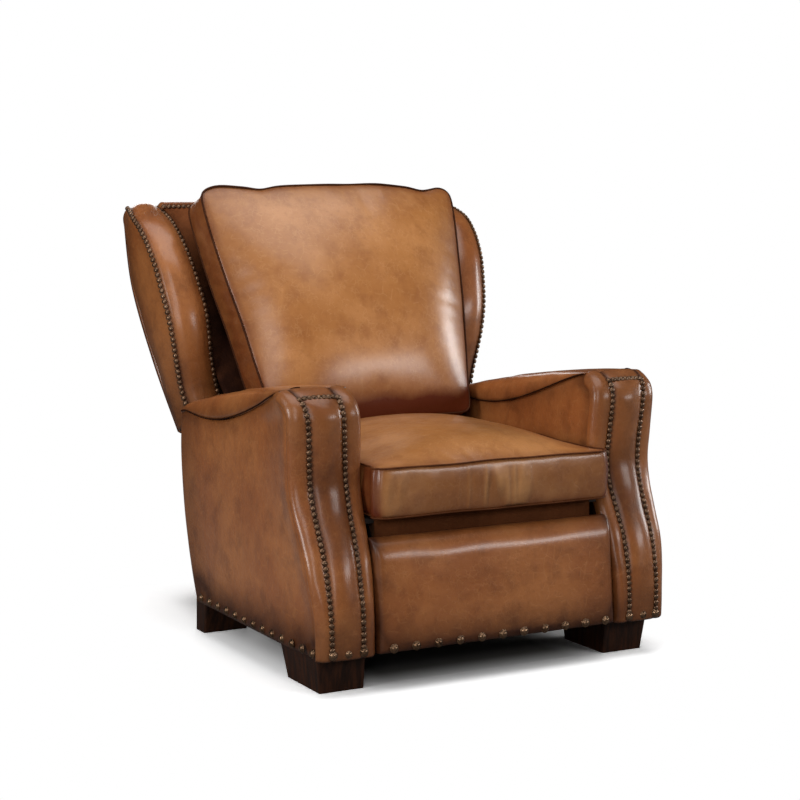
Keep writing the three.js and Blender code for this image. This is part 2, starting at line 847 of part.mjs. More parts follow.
// A box cushion: flat underneath, drawn-in sides between two welts and a crowned top.
function makeSeatCushion() {
  const half = armInner - cushionSideGap;
  const halfLength = cushionLength / 2;
  const outline = roundedOutline(half, halfLength, cushionCorner, 6);
  const sides = subdivided(outline, 6);
  const middleY = cushionSetback + halfLength;
  const top = cushionFoot + cushionBorder;
  const crownAt = (x, y) => {
    const across = Math.abs(x / half) ** 2.8;
    const along = Math.abs(y / halfLength) ** 2.8;
    return cushionCrown * (1 - across) * (1 - along) ** 0.8;
  };
  const ring = (scale, z, crowned) => sides.map(([x, y]) => {
    const pull = 1 - (cushionPull / half) * (1 - Math.abs(x / half) * Math.abs(y / halfLength));
    const px = x * scale * pull;
    const py = y * scale * pull;
    const rise = crowned ? crownAt(px, py) : 0;
    return new THREE.Vector3(px, py + middleY, z + rise);
  });
  const bulge = 1 - weltBulge / half;
  addPiece('seat_cushion', leather, loft([
    ring(1 - 2 * weltBulge / half, cushionFoot, false),
    ring(1, cushionFoot + weltBulge, false),
    ring(bulge, cushionFoot + 3 * weltBulge, false),
    ring(1 - weltBulge / half / 2, cushionFoot + cushionBorder / 2, false),
    ring(bulge, top - 3 * weltBulge, false),
    ring(1, top - weltBulge, false),
    ring(1 - 2 * weltBulge / half, top, true),
    ring(0.93, top, true),
    ring(0.84, top, true),
    ring(0.7, top, true),
    ring(0.52, top, true),
    ring(0.32, top, true),
    ring(0.12, top, true),
  ]));
}

// Points added along the long sides of an outline, so that its crown stays smooth.
function subdivided(outline, parts) {
  const longest = Math.max(...outline.map((point, i) => lengthTo(point, outline, i)));
  return outline.flatMap((point, i) => {
    const next = outline[(i + 1) % outline.length];
    if (lengthTo(point, outline, i) < longest / 2) return [point];
    return Array.from({ length: parts }, (_, k) => [
      THREE.MathUtils.lerp(point[0], next[0], k / parts),
      THREE.MathUtils.lerp(point[1], next[1], k / parts),
    ]);
  });
}

function lengthTo(point, outline, i) {
  const next = outline[(i + 1) % outline.length];
  return Math.hypot(next[0] - point[0], next[1] - point[1]);
}

// Elbow between thigh and shin links: below and behind, where the two circles meet.
function elbowPoint() {
  const reachY = footrestPivotY - thighPivotY;
  const reachZ = footrestPivotZ - thighPivotZ;
  const reach = Math.hypot(reachY, reachZ);
  const along = (thighLength ** 2 - shinLength ** 2 + reach ** 2) / (2 * reach);
  const aside = Math.sqrt(thighLength ** 2 - along ** 2);
  return [
    thighPivotY + (reachY * along - reachZ * aside) / reach,
    thighPivotZ + (reachZ * along + reachY * aside) / reach,
  ];
}

function makeFootrest() {
  const elbow = elbowPoint();
  const thigh = sidePlate(
    hullOutline([[thighPivotY, thighPivotZ, linkHalfWidth], [...elbow, linkHalfWidth]]),
    nearLayerX, nearLayerX + linkThick,
    [hole(thighPivotY, thighPivotZ)],
  );
  const elbowStud = pin(...elbow, pinRadius, nearLayerX + bluntEdge, farLayerX + linkThick + layerGap);
  addPair('footrest_thigh_link', steel, joined(thigh, elbowStud));
  const tubeHalf = nearLayerX - gap;
  addPiece('footrest_torque_tube', steel, pin(...elbow, tubeRadius, -tubeHalf, tubeHalf));

  const shin = sidePlate(
    hullOutline([[...elbow, linkHalfWidth], [footrestPivotY, footrestPivotZ, linkHalfWidth]]),
    farLayerX, farLayerX + linkThick,
    [hole(...elbow), hole(footrestPivotY, footrestPivotZ)],
  );
  addPair('footrest_shin_link', steel, shin);

  // The padded panel leans: its foot is further forward than its top.
  const faceAt = (z) => (footrestLean * (z - footrestBottom)) / footrestHeight;
  const boardFront = footrestPadThick + gap;
  const boardRear = boardFront + footrestBoardThick;
  const boardLow = footrestBottom + footrestBoardMargin;
  const boardHigh = footrestBottom + footrestHeight - footrestBoardMargin;
  const boardHalf = footrestWidth / 2 - footrestBoardMargin;
  addPiece('footrest_board', frameWood, sidePlate([
    [faceAt(boardLow) + boardFront, boardLow],
    [faceAt(boardLow) + boardRear, boardLow],
    [faceAt(boardHigh) + boardRear, boardHigh],
    [faceAt(boardHigh) + boardFront, boardHigh],
  ], -boardHalf, boardHalf));

  const bracketLow = footrestPivotZ - bracketHalfHeight;
  const bracketHigh = footrestPivotZ + bracketHalfHeight;
  const seatOn = boardRear + gap;
  const bracket = sidePlate([
    [faceAt(bracketLow) + seatOn, bracketLow],
    [faceAt(bracketLow) + seatOn + bracketFlange, bracketLow],
    [footrestPivotY + linkHalfWidth, footrestPivotZ - linkHalfWidth],
    [footrestPivotY + linkHalfWidth, footrestPivotZ + linkHalfWidth],
    [faceAt(bracketHigh) + seatOn + bracketFlange, bracketHigh],
    [faceAt(bracketHigh) + seatOn, bracketHigh],
  ], nearLayerX, nearLayerX + linkThick);
  const bracketStud = pin(
    footrestPivotY, footrestPivotZ, pinRadius,
    nearLayerX + bluntEdge, farLayerX + linkThick + layerGap,
  );
  addPair('footrest_bracket', steel, joined(bracket, bracketStud));
  makeFootrestPad(faceAt);
}

// The footrest pad: a crowned leather face with round edges all round.
function makeFootrestPad(faceAt) {
  const half = footrestWidth / 2;
  const cornerDepthAt = (fromEdge) => {
    const inside = THREE.MathUtils.clamp(1 - fromEdge / footrestPadCorner, 0, 1);
    return footrestPadCorner * (1 - Math.sqrt(1 - inside ** 2));
  };
  const eased = (share) => 0.5 - 0.5 * Math.cos(Math.PI * share);
  const front = (u, v) => {
    const x = THREE.MathUtils.lerp(-half, half, eased(u));
    const z = footrestBottom + footrestHeight * eased(v);
    const fromSide = half - Math.abs(x);
    const fromEnd = Math.min(z - footrestBottom, footrestBottom + footrestHeight - z);
    const setIn = Math.max(cornerDepthAt(fromSide), cornerDepthAt(fromEnd));
    return new THREE.Vector3(x, faceAt(z) + setIn, z);
  };
  const rear = (u, v) => {
    const point = front(u, v);
    point.y = faceAt(point.z) + footrestPadThick;
    return point;
  };
  addPiece('footrest_pad', leather, slab(front, rear, 14, 12));
}

// Wing and shell outlines in the leaning frame of the back.
const wingRise = wingTop - wingFoot;
const wingFront = curveThrough(wingFrontShares, (a, b) => [wingFoot + wingRise * a, shellRear * b]);

function readCurve(curve, at) {
  const points = curve.getPoints(60);
  const above = Math.max(points.findIndex((point) => point.x >= at), 1);
  const low = points[above - 1];
  const high = points[above];
  return THREE.MathUtils.mapLinear(at, low.x, high.x, low.y, high.y);
}

function wingFrontAt(h) {
  return readCurve(wingFront, THREE.MathUtils.clamp(h, wingFoot, wingTop));
}

function wingFlareAt(h) {
  const share = (wingTop - h) / wingRise;
  return wingSpread - (wingSpread - wingWaist) * 1.2 * Math.max(share, 0) ** 1.6;
}

function wingOuterAt(h) {
  return wingFlareAt(h) - wingTopPull * smooth(h, wingTop - wingTopRound, wingTop);
}

function wingInnerAt(h) {
  return wingFlareAt(h) - wingBand;
}

const shellHalf = curveThrough(shellHalfShares, (a, b) => [
  wingFoot + (shellTop - wingFoot) * a,
  wingSpread * b,
]);

function shellHalfAt(h) {
  return readCurve(shellHalf, THREE.MathUtils.clamp(h, wingFoot, shellTop));
}

function makeBackFrame() {
  const postOuter = farLayerX - gap;
  const postInner = postOuter - postThick;
  const postTop = postFoot + postHeight;
  addPair('back_post', frameWood, sidePlate([
    [postFront, postFoot], [postWaist, postFoot], [postWaist, postWaistTop],
    [postRear, postShoulder], [postRear, postTop], [postFront, postTop],
  ], postInner, postOuter), back);
  const railHalf = postInner - gap;
  addPiece('back_lower_rail', frameWood, block(
    -railHalf, railHalf, postFront + gap, postWaist, postFoot, postFoot + lowerRailHeight,
  ), back);
  const topHalf = wingInnerAt(postTop) - gap;
  addPiece('back_top_rail', leather, block(
    -topHalf, topHalf, postFront + gap, shellRear, postTop + gap, postTop + gap + topRailThick,
  ), back);

  // The hinge bracket holds the hinge hole and, below it, the lever that drives the seat.
  const lever = new THREE.Vector2(leverY, leverZ).rotateAround(new THREE.Vector2(), backLean);
  const plate = sidePlate(
    hullOutline([
      [0, 0, linkHalfWidth + pinRadius],
      [lever.x, lever.y, linkHalfWidth],
      [postWaist - linkHalfWidth, postWaistTop + linkHalfWidth, linkHalfWidth],
      [postWaist - linkHalfWidth, postFoot + linkHalfWidth, linkHalfWidth],
    ]),
    farLayerX, farLayerX + linkThick, [hole(0, 0)],
  );
  const stud = pin(lever.x, lever.y, pinRadius, nearLayerX, farLayerX + bluntEdge);
  addPair('back_bracket', steel, joined(plate, stud), back);
}

function makeWings() {
  const stations = 16;
  const postOuter = farLayerX;
  const stepR = postFront + gap;
  const heights = Array.from({ length: stations + 1 }, (_, k) => wingFoot + (wingRise * k) / stations);
  const bodyRings = heights.map((h) => {
    const front = wingFrontAt(h) + wingPadThick + gap;
    const inner = wingInnerAt(h);
    const outer = wingOuterAt(h);
    const rear = shellRear;
    const corner = shellHalfAt(h);
    const tuck = Math.max(stepR, front + bluntEdge);
    const bulge = wingBulge * (1 - smooth(h, wingTop - 3 * wingTopRound, wingTop));
    const ring = [[inner, front], [outer, front]];
    for (const share of [0.25, 0.5, 0.75]) {
      const x = THREE.MathUtils.lerp(outer, corner, share) + bulge * Math.sin(Math.PI * share);
      ring.push([x, THREE.MathUtils.lerp(front, rear, share)]);
    }
    ring.push([corner, rear], [postOuter, rear], [postOuter, tuck], [inner, tuck]);
    return ring.map(([x, r]) => new THREE.Vector3(x, r, h));
  });
  const postTop = postFoot + postHeight;
  const topRoom = block(
    0, wingInnerAt(shellTop),
    stepR - cutOverrun, shellRear + cutOverrun,
    postTop, shellTop + cutOverrun,
  );
  addPair('wing_body', leather, cut(loft(bodyRings), topRoom), back);

  const padRings = heights.map((h) => {
    const front = wingFrontAt(h);
    const inner = wingInnerAt(h);
    const outer = wingOuterAt(h);
    const ring = [[inner, front + wingPadThick], [inner, front + wingPadCrown / 2]];
    for (const share of [0.12, 0.35, 0.65, 0.88]) {
      ring.push([
        THREE.MathUtils.lerp(inner, outer, share),
        front - wingPadCrown * Math.sin(Math.PI * share) ** 0.7,
      ]);
    }
    ring.push([outer, front + wingPadCrown / 2], [outer, front + wingPadThick]);
    return ring.map(([x, r]) => new THREE.Vector3(x, r, h));
  });
  addPair('wing_front_pad', leather, loft(padRings), back);
}

// The padded board inside the back and the crowned leather panel behind it.
function makeBackPanels() {
  const top = postFoot + postHeight + topRailThick - backPanelTopGap;
  const narrow = nearLayerX;
  const peak = backPanelEdge + pillowRearWelt - pillowRearCrown - gap;
  const halfAt = (h) => {
    const wide = wingInnerAt(Math.max(h, wingFoot)) - gap;
    return THREE.MathUtils.lerp(narrow, wide, smooth(h, wingFoot, wingFoot + pillowCorner));
  };
  const panelFront = (u, v) => {
    const h = THREE.MathUtils.lerp(backPanelFoot, top, v);
    const side = 2 * u - 1;
    const crown = (1 - Math.abs(side) ** 2.5) * (1 - Math.abs(2 * v - 1) ** 2.5);
    return new THREE.Vector3(side * halfAt(h), backPanelEdge - peak * crown, h);
  };
  const panelRear = (u, v) => panelFront(u, v).setY(postFront - gap);
  addPiece('back_inside_panel', darkLeather, slab(panelFront, panelRear, 8, 8), back);

  const shellWidthAt = (h) => THREE.MathUtils.lerp(
    mechanismX - gap * 10, shellHalfAt(h), smooth(h, wingFoot - pillowCorner, wingFoot),
  );
  const shellLineAt = (h) => THREE.MathUtils.lerp(
    shellFootRear, shellRear, smooth(h, postFoot, wingFoot) ** 0.8,
  ) + gap;
  const shellInner = (u, v) => {
    const h = THREE.MathUtils.lerp(shellFoot, shellTop, v);
    const side = 2 * u - 1;
    return new THREE.Vector3(side * shellWidthAt(h), shellLineAt(h), h);
  };
  const shellOuter = (u, v) => {
    const point = shellInner(u, v);
    const crown = (1 - Math.abs(2 * u - 1) ** 3) * Math.sin(Math.PI * v) ** 0.6;
    point.y += shellThick + shellCrown * crown;
    return point;
  };
  addPiece('back_outside_panel', leather, slab(shellOuter, shellInner, 8, 14), back);
}

// The back cushion: a box pillow, wider at its top, with ears at its upper corners.
function makeBackCushion() {
  const halfHeight = pillowHeight / 2;
  const middle = pillowFoot + halfHeight;
  const outline = subdivided(roundedOutline(1, 1, pillowCorner / halfHeight, 6), 6);
  const place = (x, v) => {
    const half = THREE.MathUtils.lerp(pillowFootHalf, pillowTopHalf, (v + 1) / 2);
    const lift = v > 0 ? pillowTopRise * v ** 4 * Math.cos((Math.PI / 2) * x) : 0;
    return [x * half, middle + v * halfHeight + lift];
  };
  const ring = (scale, r, crown) => outline.map(([x, v]) => {
    const [px, h] = place(x * scale, v * scale);
    const dome = (1 - Math.abs(x * scale) ** 2.6) * (1 - Math.abs(v * scale) ** 2.6);
    return new THREE.Vector3(px, r - crown * dome, h);
  });
  const welt = weltBulge / halfHeight;
  const front = -pillowFrontWelt;
  const rear = -pillowRearWelt;
  const scales = [0.15, 0.4, 0.62, 0.8, 0.92];
  addPiece('back_cushion', leather, loft([
    ...scales.map((scale) => ring(scale, rear, -pillowRearCrown)),
    ring(1 - 2 * welt, rear, -pillowRearCrown),
    ring(1, rear - weltBulge, 0),
    ring(1 - welt, rear - 3 * weltBulge, 0),
    ring(1, (front + rear) / 2, 0),
    ring(1 - welt, front + 3 * weltBulge, 0),
    ring(1, front + weltBulge, 0),
    ring(1 - 2 * welt, front, pillowFrontCrown),
    ...[...scales].reverse().map((scale) => ring(scale, front, pillowFrontCrown)),
  ]), back);
}

makeArms();
makeBase();
const drivePoint = makeMechanism();
makeSeat(drivePoint);
makeFootrest();
makeBackFrame();
makeWings();
makeBackPanels();
makeBackCushion();

// The part's origin is the middle of its footprint, on the floor.
chair.updateMatrixWorld(true);
const bounds = new THREE.Box3().setFromObject(chair, true);
const middle = bounds.getCenter(new THREE.Vector3());
chair.position.set(-middle.x, -middle.y, -bounds.min.z);

export default chair;
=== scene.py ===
import math

import bpy
import numpy as np
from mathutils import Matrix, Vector


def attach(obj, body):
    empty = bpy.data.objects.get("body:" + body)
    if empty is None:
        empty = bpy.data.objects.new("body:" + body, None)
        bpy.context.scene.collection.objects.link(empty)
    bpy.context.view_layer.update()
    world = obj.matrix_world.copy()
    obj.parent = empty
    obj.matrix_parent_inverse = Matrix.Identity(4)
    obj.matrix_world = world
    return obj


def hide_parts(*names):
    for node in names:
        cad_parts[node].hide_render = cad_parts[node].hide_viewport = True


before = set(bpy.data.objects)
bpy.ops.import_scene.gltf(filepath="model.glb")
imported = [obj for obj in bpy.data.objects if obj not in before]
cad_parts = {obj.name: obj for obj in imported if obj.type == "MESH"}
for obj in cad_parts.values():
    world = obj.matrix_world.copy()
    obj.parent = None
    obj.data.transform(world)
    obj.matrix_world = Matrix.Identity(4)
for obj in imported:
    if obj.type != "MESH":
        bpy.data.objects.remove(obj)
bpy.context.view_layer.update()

# Shapes are worked out in millimetres, y = 0 at the toe of the arms, and rowShift carries them to the origin.
chair = dict(rowShift=-538.065, hingeY=640, hingeZ=400, lean=math.radians(24))
# the direction square to the back, to its rear
square = np.array([0, math.cos(chair["lean"]), -math.sin(chair["lean"])])
upward = np.array([0, 0, 1.])
hands = (("right", 1), ("left", -1))


def toRow(points):
    # chair millimetres to metres on the part's origin
    return (np.asarray(points, float) + [0, chair["rowShift"], 0]) / 1000


def spots(x, y, z):
    # places from three coordinates, each a number or an array
    return np.stack(np.broadcast_arrays(x, y, z), -1).astype(float)


def leaning(x, r, h):
    # a place in the leaning frame of the back: r to the rear, h up the back, turned by the lean
    _, cosine, sine = square
    return spots(x, chair["hingeY"] + r * cosine - h * sine, chair["hingeZ"] + h * cosine + r * sine)


def mirrored(points, sign):
    return np.asarray(points, float) * [sign, 1, 1]


def unit(ways):
    return ways / np.linalg.norm(ways, axis=-1, keepdims=True)


def smooth(value, low, high):
    # 0 below low, 1 above high, 3t^2 - 2t^3 between
    t = np.clip((value - low) / (high - low), 0, 1)
    return t * t * (3 - 2 * t)


def mix(low, high, share):
    # low at share 0 and high at share 1
    return low + (high - low) * share


def quarter(share):
    # a quarter circle from 1 at share 0 down to 0 at share 1 and beyond
    return 1 - np.sqrt(1 - np.clip(1 - share, 0, 1) ** 2)


def hump(share, power=1):
    # half a wave: 0 at shares 0 and 1, and 1 midway
    return np.sin(np.pi * share) ** power


def shares(columns, rows, first=0):
    # the share across each column, from first to 1, and the share up each row, from 0 to 1
    return np.linspace(first, 1, columns)[None], np.linspace(0, 1, rows)[:, None]


def splineAt(knots, t):
    # uniform Catmull-Rom through the knots at t from 0 to 1
    knots = np.asarray(knots, float)
    last = len(knots) - 1
    place = np.clip(np.asarray(t, float), 0, 1) * last
    k = np.minimum(place.astype(int), last - 1)
    w = (place - k).reshape(place.shape + (1,) * (knots.ndim - 1))
    a, b = knots[np.maximum(k - 1, 0)], knots[k]
    c, d = knots[k + 1], knots[np.minimum(k + 2, last)]
    first, second = (c - a) / 2, (d - b) / 2
    cubic, squared = 2 * b - 2 * c + first + second, 3 * c - 3 * b - 2 * first - second
    return cubic * w ** 3 + squared * w ** 2 + first * w + b


def reachOf(path):
    # distance along a path at each of its places
    return np.concatenate([[0], np.cumsum(np.linalg.norm(np.diff(path, axis=0), axis=1))])


def evenAlong(path, count):
    # count places at even distances along a path
    path = np.asarray(path, float)
    reach = reachOf(path)
    want = np.linspace(0, reach[-1], count)
    return np.stack([np.interp(want, reach, path[:, k]) for k in range(path.shape[1])], -1)


def ripple(points, wavelength, seed, waves=9):
    # Sum of cosines in seeded directions over the root of their number, with wavelengths round the one
    # asked for: mostly from -1 to 1.
    rng = np.random.default_rng(seed)
    way = unit(rng.normal(size=(waves, 3)))
    turn = 2 * np.pi / (wavelength * rng.uniform(0.7, 1.5, waves))
    phase = rng.uniform(0, 2 * np.pi, waves)
    return np.cos(np.asarray(points) @ (way * turn[:, None]).T + phase).sum(-1) / math.sqrt(waves)


def closedPiece(name, points, faces, marks):
    # a mesh from millimetre points and groups of faces, turned so that its volume is positive
    points = toRow(points)
    volume = 0
    for group in faces:
        for k in range(1, group.shape[1] - 1):
            a, b, c = points[group[:, 0]], points[group[:, k]], points[group[:, k + 1]]
            volume += np.einsum("ij,ij->", a, np.cross(b, c))
    if volume < 0:
        faces = [group[:, ::-1] for group in faces]
    mesh = bpy.data.meshes.new(name)
    mesh.from_pydata(points.tolist(), [], [face for group in faces for face in group.tolist()])
    mesh.polygons.foreach_set("use_smooth", np.ones(len(mesh.polygons), bool))
    for label, values in marks.items():
        attribute = mesh.attributes.new(label, "FLOAT", "POINT")
        attribute.data.foreach_set("value", np.asarray(values, np.float32).ravel())
    mesh.update()
    piece = bpy.data.objects.new(name, mesh)
    bpy.context.scene.collection.objects.link(piece)
    return piece


def quads(rows, columns, wrap=False):
    # faces of a grid of points, row by row, closed across its columns where wrap is set
    r, c = np.meshgrid(np.arange(rows - 1), np.arange(columns if wrap else columns - 1), indexing="ij")
    n = (c + 1) % columns
    faces = np.stack([r * columns + c, r * columns + n, (r + 1) * columns + n, (r + 1) * columns + c], -1)
    return faces.reshape(-1, 4)


def rimOf(rows, columns):
    # numbers of the points round the edge of a grid
    index = np.arange(rows * columns).reshape(rows, columns)
    return np.concatenate([index[0, :-1], index[:-1, -1], index[-1, :0:-1], index[:0:-1, 0]])


def loft(name, rings, burnishAndShade):
    # rings of equal length joined in order, with one flat face on each end
    rows, columns = rings.shape[:2]
    ring = np.arange(columns)[None]
    faces = [quads(rows, columns, wrap=True), ring[:, ::-1], ring + (rows - 1) * columns]
    return closedPiece(name, rings.reshape(-1, 3), faces, {"burnishAndShade": np.broadcast_to(burnishAndShade, (rows, columns))})


def slab(name, outer, inner, burnishAndShade):
    # two grids of the same size with walls round their rims
    rows, columns = outer.shape[:2]
    count, grid, rim = rows * columns, quads(rows, columns), rimOf(rows, columns)
    onward = np.roll(rim, -1)
    walls = np.stack([rim, rim + count, onward + count, onward], -1)
    points = np.concatenate([outer.reshape(-1, 3), inner.reshape(-1, 3)])
    mark = np.broadcast_to(burnishAndShade, (2, rows, columns))
    return closedPiece(name, points, [grid, grid[:, ::-1] + count, walls], {"burnishAndShade": mark})


def shaped(name, parts, sign=1):
    # one grid of rings makes a loft and two grids make a slab; the mark of burnish and painted shade comes last
    *grids, burnishAndShade = parts
    make = loft if len(grids) == 1 else slab
    return make(name, *(mirrored(grid, sign) for grid in grids), burnishAndShade)


def cord(name, path, radius, outward, sides=8, wrap=False, burnishAndShade=0.0):
    # rings round a path: one axis lies on the outward direction, the other is square to it and the path
    if wrap:
        along = unit(np.roll(path, -1, 0) - np.roll(path, 1, 0))
    else:
        along = unit(np.gradient(path, axis=0))
    side = unit(np.cross(along, np.broadcast_to(outward, path.shape)))
    up = np.cross(side, along)
    turn = (np.arange(sides) * 2 * np.pi / sides)[:, None]
    rings = path[:, None] + radius * (np.cos(turn) * up[:, None] + np.sin(turn) * side[:, None])
    if not wrap:
        return loft(name, rings, burnishAndShade)
    count = len(path) * sides
    faces = quads(len(path) + 1, sides, wrap=True) % count
    return closedPiece(name, rings.reshape(-1, 3), [faces], {"burnishAndShade": np.full(count, burnishAndShade)})


def domes(name, places, outward, profile, sides, seed):
    # one turned head per place: the profile's radius and height round the outward direction
    rng = np.random.default_rng(seed)
    outward = unit(np.asarray(outward, float))
    outward = unit(outward + rng.normal(scale=0.04, size=outward.shape))
    other = np.where(np.abs(outward[:, :1]) < 0.9, [[1.0, 0, 0]], [[0, 1.0, 0]])
    side = unit(np.cross(outward, other))
    up = np.cross(outward, side)
    turn = (np.arange(sides) * 2 * np.pi / sides)[:, None, None]
    ring = np.cos(turn) * side + np.sin(turn) * up
    profile = np.asarray(profile, float)
    body = profile[:-1, :, None, None, None]
    points = (places + body[:, 0] * ring + body[:, 1] * outward).transpose(2, 0, 1, 3)
    tip = places + profile[-1, 1] * outward
    points = np.concatenate([points.reshape(len(places), -1, 3), tip[:, None]], 1)
    here, last = np.arange(sides), (len(body) - 1) * sides
    cap = np.stack([last + here, last + (here + 1) % sides, np.full(sides, len(body) * sides)], -1)
    step = (np.arange(len(places)) * points.shape[1])[:, None, None]
    faces = [(group[None] + step).reshape(-1, group.shape[1])
             for group in (quads(len(body), sides, wrap=True), cap, here[None, ::-1])]
    tone = np.repeat(rng.uniform(0, 1, len(places)), points.shape[1])
    return closedPiece(name, points.reshape(-1, 3), faces, {"tone": tone})


class Wire:
    # a node's output, with arithmetic that adds Math nodes
    def __init__(self, shader, socket):
        self.shader, self.socket = shader, socket

    def math(self, operation, other=0.0, clamp=False):
        settings = dict(operation=operation, use_clamp=clamp)
        return self.shader.out("ShaderNodeMath", settings, {0: self, 1: other})

    def __add__(self, other): return self.math("ADD", other)
    def __radd__(self, other): return self.math("ADD", other)
    def __sub__(self, other): return self.math("SUBTRACT", other)
    def __mul__(self, other): return self.math("MULTIPLY", other)
    def __rmul__(self, other): return self.math("MULTIPLY", other)

    def __rsub__(self, other):
        return self.shader.out("ShaderNodeMath", dict(operation="SUBTRACT"), {0: other, 1: self})

    def clamp(self): return self.math("ADD", 0.0, clamp=True)

    def between(self, low, high):
        # 0 at low and 1 at high, held at both ends
        settings = dict(interpolation_type="SMOOTHSTEP")
        return self.shader.out("ShaderNodeMapRange", settings, {0: self, 1: low, 2: high})


class Finish:
    # a material and the one method that adds its nodes
    def __init__(self, name):
        self.material = bpy.data.materials.new(name)
        self.material.use_nodes = True
        self.tree = self.material.node_tree
        self.tree.nodes.clear()
        self.places = self.out("ShaderNodeTexCoord", {}, {}, "Object")

    def node(self, kind, settings, inputs):
        made = self.tree.nodes.new(kind)
        for label, value in settings.items():
            setattr(made, label, value)
        for label, value in inputs.items():
            if isinstance(value, Wire):
                self.tree.links.new(value.socket, made.inputs[label])
            else:
                made.inputs[label].default_value = value
        return made

    def out(self, kind, settings, inputs, output=0):
        return Wire(self, self.node(kind, settings, inputs).outputs[output])

    def noise(self, scale, detail, rough, places=None, output=0):
        inputs = dict(Vector=places or self.places, Scale=scale, Detail=detail, Roughness=rough)
        return self.out("ShaderNodeTexNoise", {}, inputs, output)

    def cells(self, scale, feature, places):
        inputs = dict(Vector=places, Scale=scale, Randomness=1.0)
        return self.out("ShaderNodeTexVoronoi", dict(feature=feature), inputs)

    def blend(self, share, first, second):
        return self.out("ShaderNodeMix", dict(data_type="RGBA"), {0: share, 6: first, 7: second}, 2)

    def vector(self, operation, inputs):
        return self.out("ShaderNodeVectorMath", dict(operation=operation), inputs)

    def warped(self, scale, amount):
        # places pushed about by a coloured noise
        push = self.vector("SUBTRACT", {0: self.noise(scale, 2, 0.5, output="Color"), 1: (0.5, 0.5, 0.5)})
        return self.vector("ADD", {0: self.places, 1: self.vector("SCALE", {0: push, "Scale": amount})})

    def stretched(self, amounts):
        return self.out("ShaderNodeMapping", {}, dict(Vector=self.places, Scale=amounts))

    def bump(self, height, distance, under=None):
        inputs = dict(Height=height, Distance=distance, Strength=1.0)
        if under:
            inputs["Normal"] = under
        return self.out("ShaderNodeBump", {}, inputs)

    def mark(self, label):
        return self.out("ShaderNodeAttribute", dict(attribute_name=label), {}, "Fac")

    def close(self, **inputs):
        # spaces in the shader's socket names are written as underscores
        named = {label.replace("_", " "): value for label, value in inputs.items()}
        shader = self.out("ShaderNodeBsdfPrincipled", {}, named)
        self.node("ShaderNodeOutputMaterial", {}, dict(Surface=shader))
        return self.material


def colour(red, green, blue):
    # 0 to 255 as seen on a screen, to the linear values a socket takes
    values = np.array([red, green, blue]) / 255
    linear = np.where(values <= 0.04045, values / 12.92, ((values + 0.055) / 1.055) ** 2.4)
    return (*linear.tolist(), 1.0)


def leatherFinish(name, tones, rough=0.42, coat=1.0, shine=0.14):
    # Hand-rubbed hide: broad clouds and mid-size blotches over a base, thin vein creases, a dark tone
    # that follows the piece's own mark, partly burnish and partly painted shade, and a pebble grain in the bump.
    make = Finish(name)
    base, light, deep, vein, edge = (colour(*tone) for tone in tones)
    clouds, blotch, fleck = make.noise(5.5, 3, 0.55), make.noise(17, 5, 0.62), make.noise(90, 3, 0.6)
    # vein creases are the borders of warped cells, kept only in patches and broken along their length
    veins = make.cells(38, "DISTANCE_TO_EDGE", make.warped(9, 0.05))
    fineVeins = make.cells(95, "DISTANCE_TO_EDGE", make.warped(30, 0.03))
    patch = make.noise(8, 2, 0.5, make.stretched((1, 1.3, 0.8))).between(0.46, 0.62)
    broken = make.noise(60, 2, 0.6).between(0.42, 0.6)
    veinLine = (1 - veins.between(0.0, 0.07)) * patch * broken
    fineLine = (1 - fineVeins.between(0.0, 0.12)) * (1 - patch) * broken
    # upright gathers where the piece's mark asks for them: the middle values of a drawn-out noise; their ridges
    # are bumped and also painted paler as a painted highlight
    gather, burnishAndShade = make.mark("gather"), make.mark("burnishAndShade")
    drawn = make.noise(19, 1, 0.4, make.stretched((1, 1, 0.12)))
    ridge = 1 - ((drawn - 0.5).math("ABSOLUTE")).between(0.0, 0.09)
    gate = make.noise(9, 1, 0.4, make.stretched((1, 1, 0.2))).between(0.4, 0.62)
    gatherFoldsAndSheen = ridge * gate * gather
    # the dark share follows the burnish mark, which is partly burnish and partly painted shade; gather ridges get
    # less of it
    worn = (burnishAndShade * (1 - gatherFoldsAndSheen * 0.7) + (blotch - 0.5) * 0.6 * burnishAndShade).clamp()
    tone = make.blend(clouds.between(0.38, 0.64), base, light)
    # the pale vein tone on the gather ridges is a painted highlight; the dark edge tone is burnish and painted
    # shade
    for share, over in ((blotch.between(0.44, 0.74) * 0.5, deep), (fleck.between(0.5, 0.75) * 0.2, deep),
                        ((veinLine + fineLine).clamp() * 0.24, vein), (gatherFoldsAndSheen * 0.5, vein), (worn, edge)):
        tone = make.blend(share, tone, over)
    pebble = make.cells(520, "F1", make.warped(120, 0.002))
    fold = make.cells(190, "DISTANCE_TO_EDGE", make.warped(70, 0.01)).between(0.0, 0.2)
    normal = make.bump(pebble * 0.3 + fold * 0.25 - veinLine * 0.6 - fineLine * 0.35, 0.0004)
    normal = make.bump(make.noise(34, 2, 0.5), 0.0022, normal)
    normal = make.bump(gatherFoldsAndSheen, 0.008, normal)
    gloss = rough + (blotch - 0.5) * 0.16 + burnishAndShade * 0.12 + veinLine * 0.1
    glaze = (1 - burnishAndShade * 0.85 + gather * 0.45).clamp() * coat
    return make.close(Base_Color=tone, Roughness=gloss, Normal=normal, Specular_IOR_Level=shine,
                      Coat_Weight=glaze, Coat_Roughness=0.25)


# each leather's tones: base, light, deep, vein, and the dark tone of burnished edges and painted shade
tanLeather = leatherFinish("rubbed_tan_leather", [
    (172, 112, 58), (190, 130, 76), (136, 79, 37), (208, 154, 100), (92, 38, 14)])
armLeather = leatherFinish("rubbed_brown_leather", [
    (156, 91, 46), (174, 108, 58), (112, 61, 29), (196, 134, 80), (54, 26, 13)])
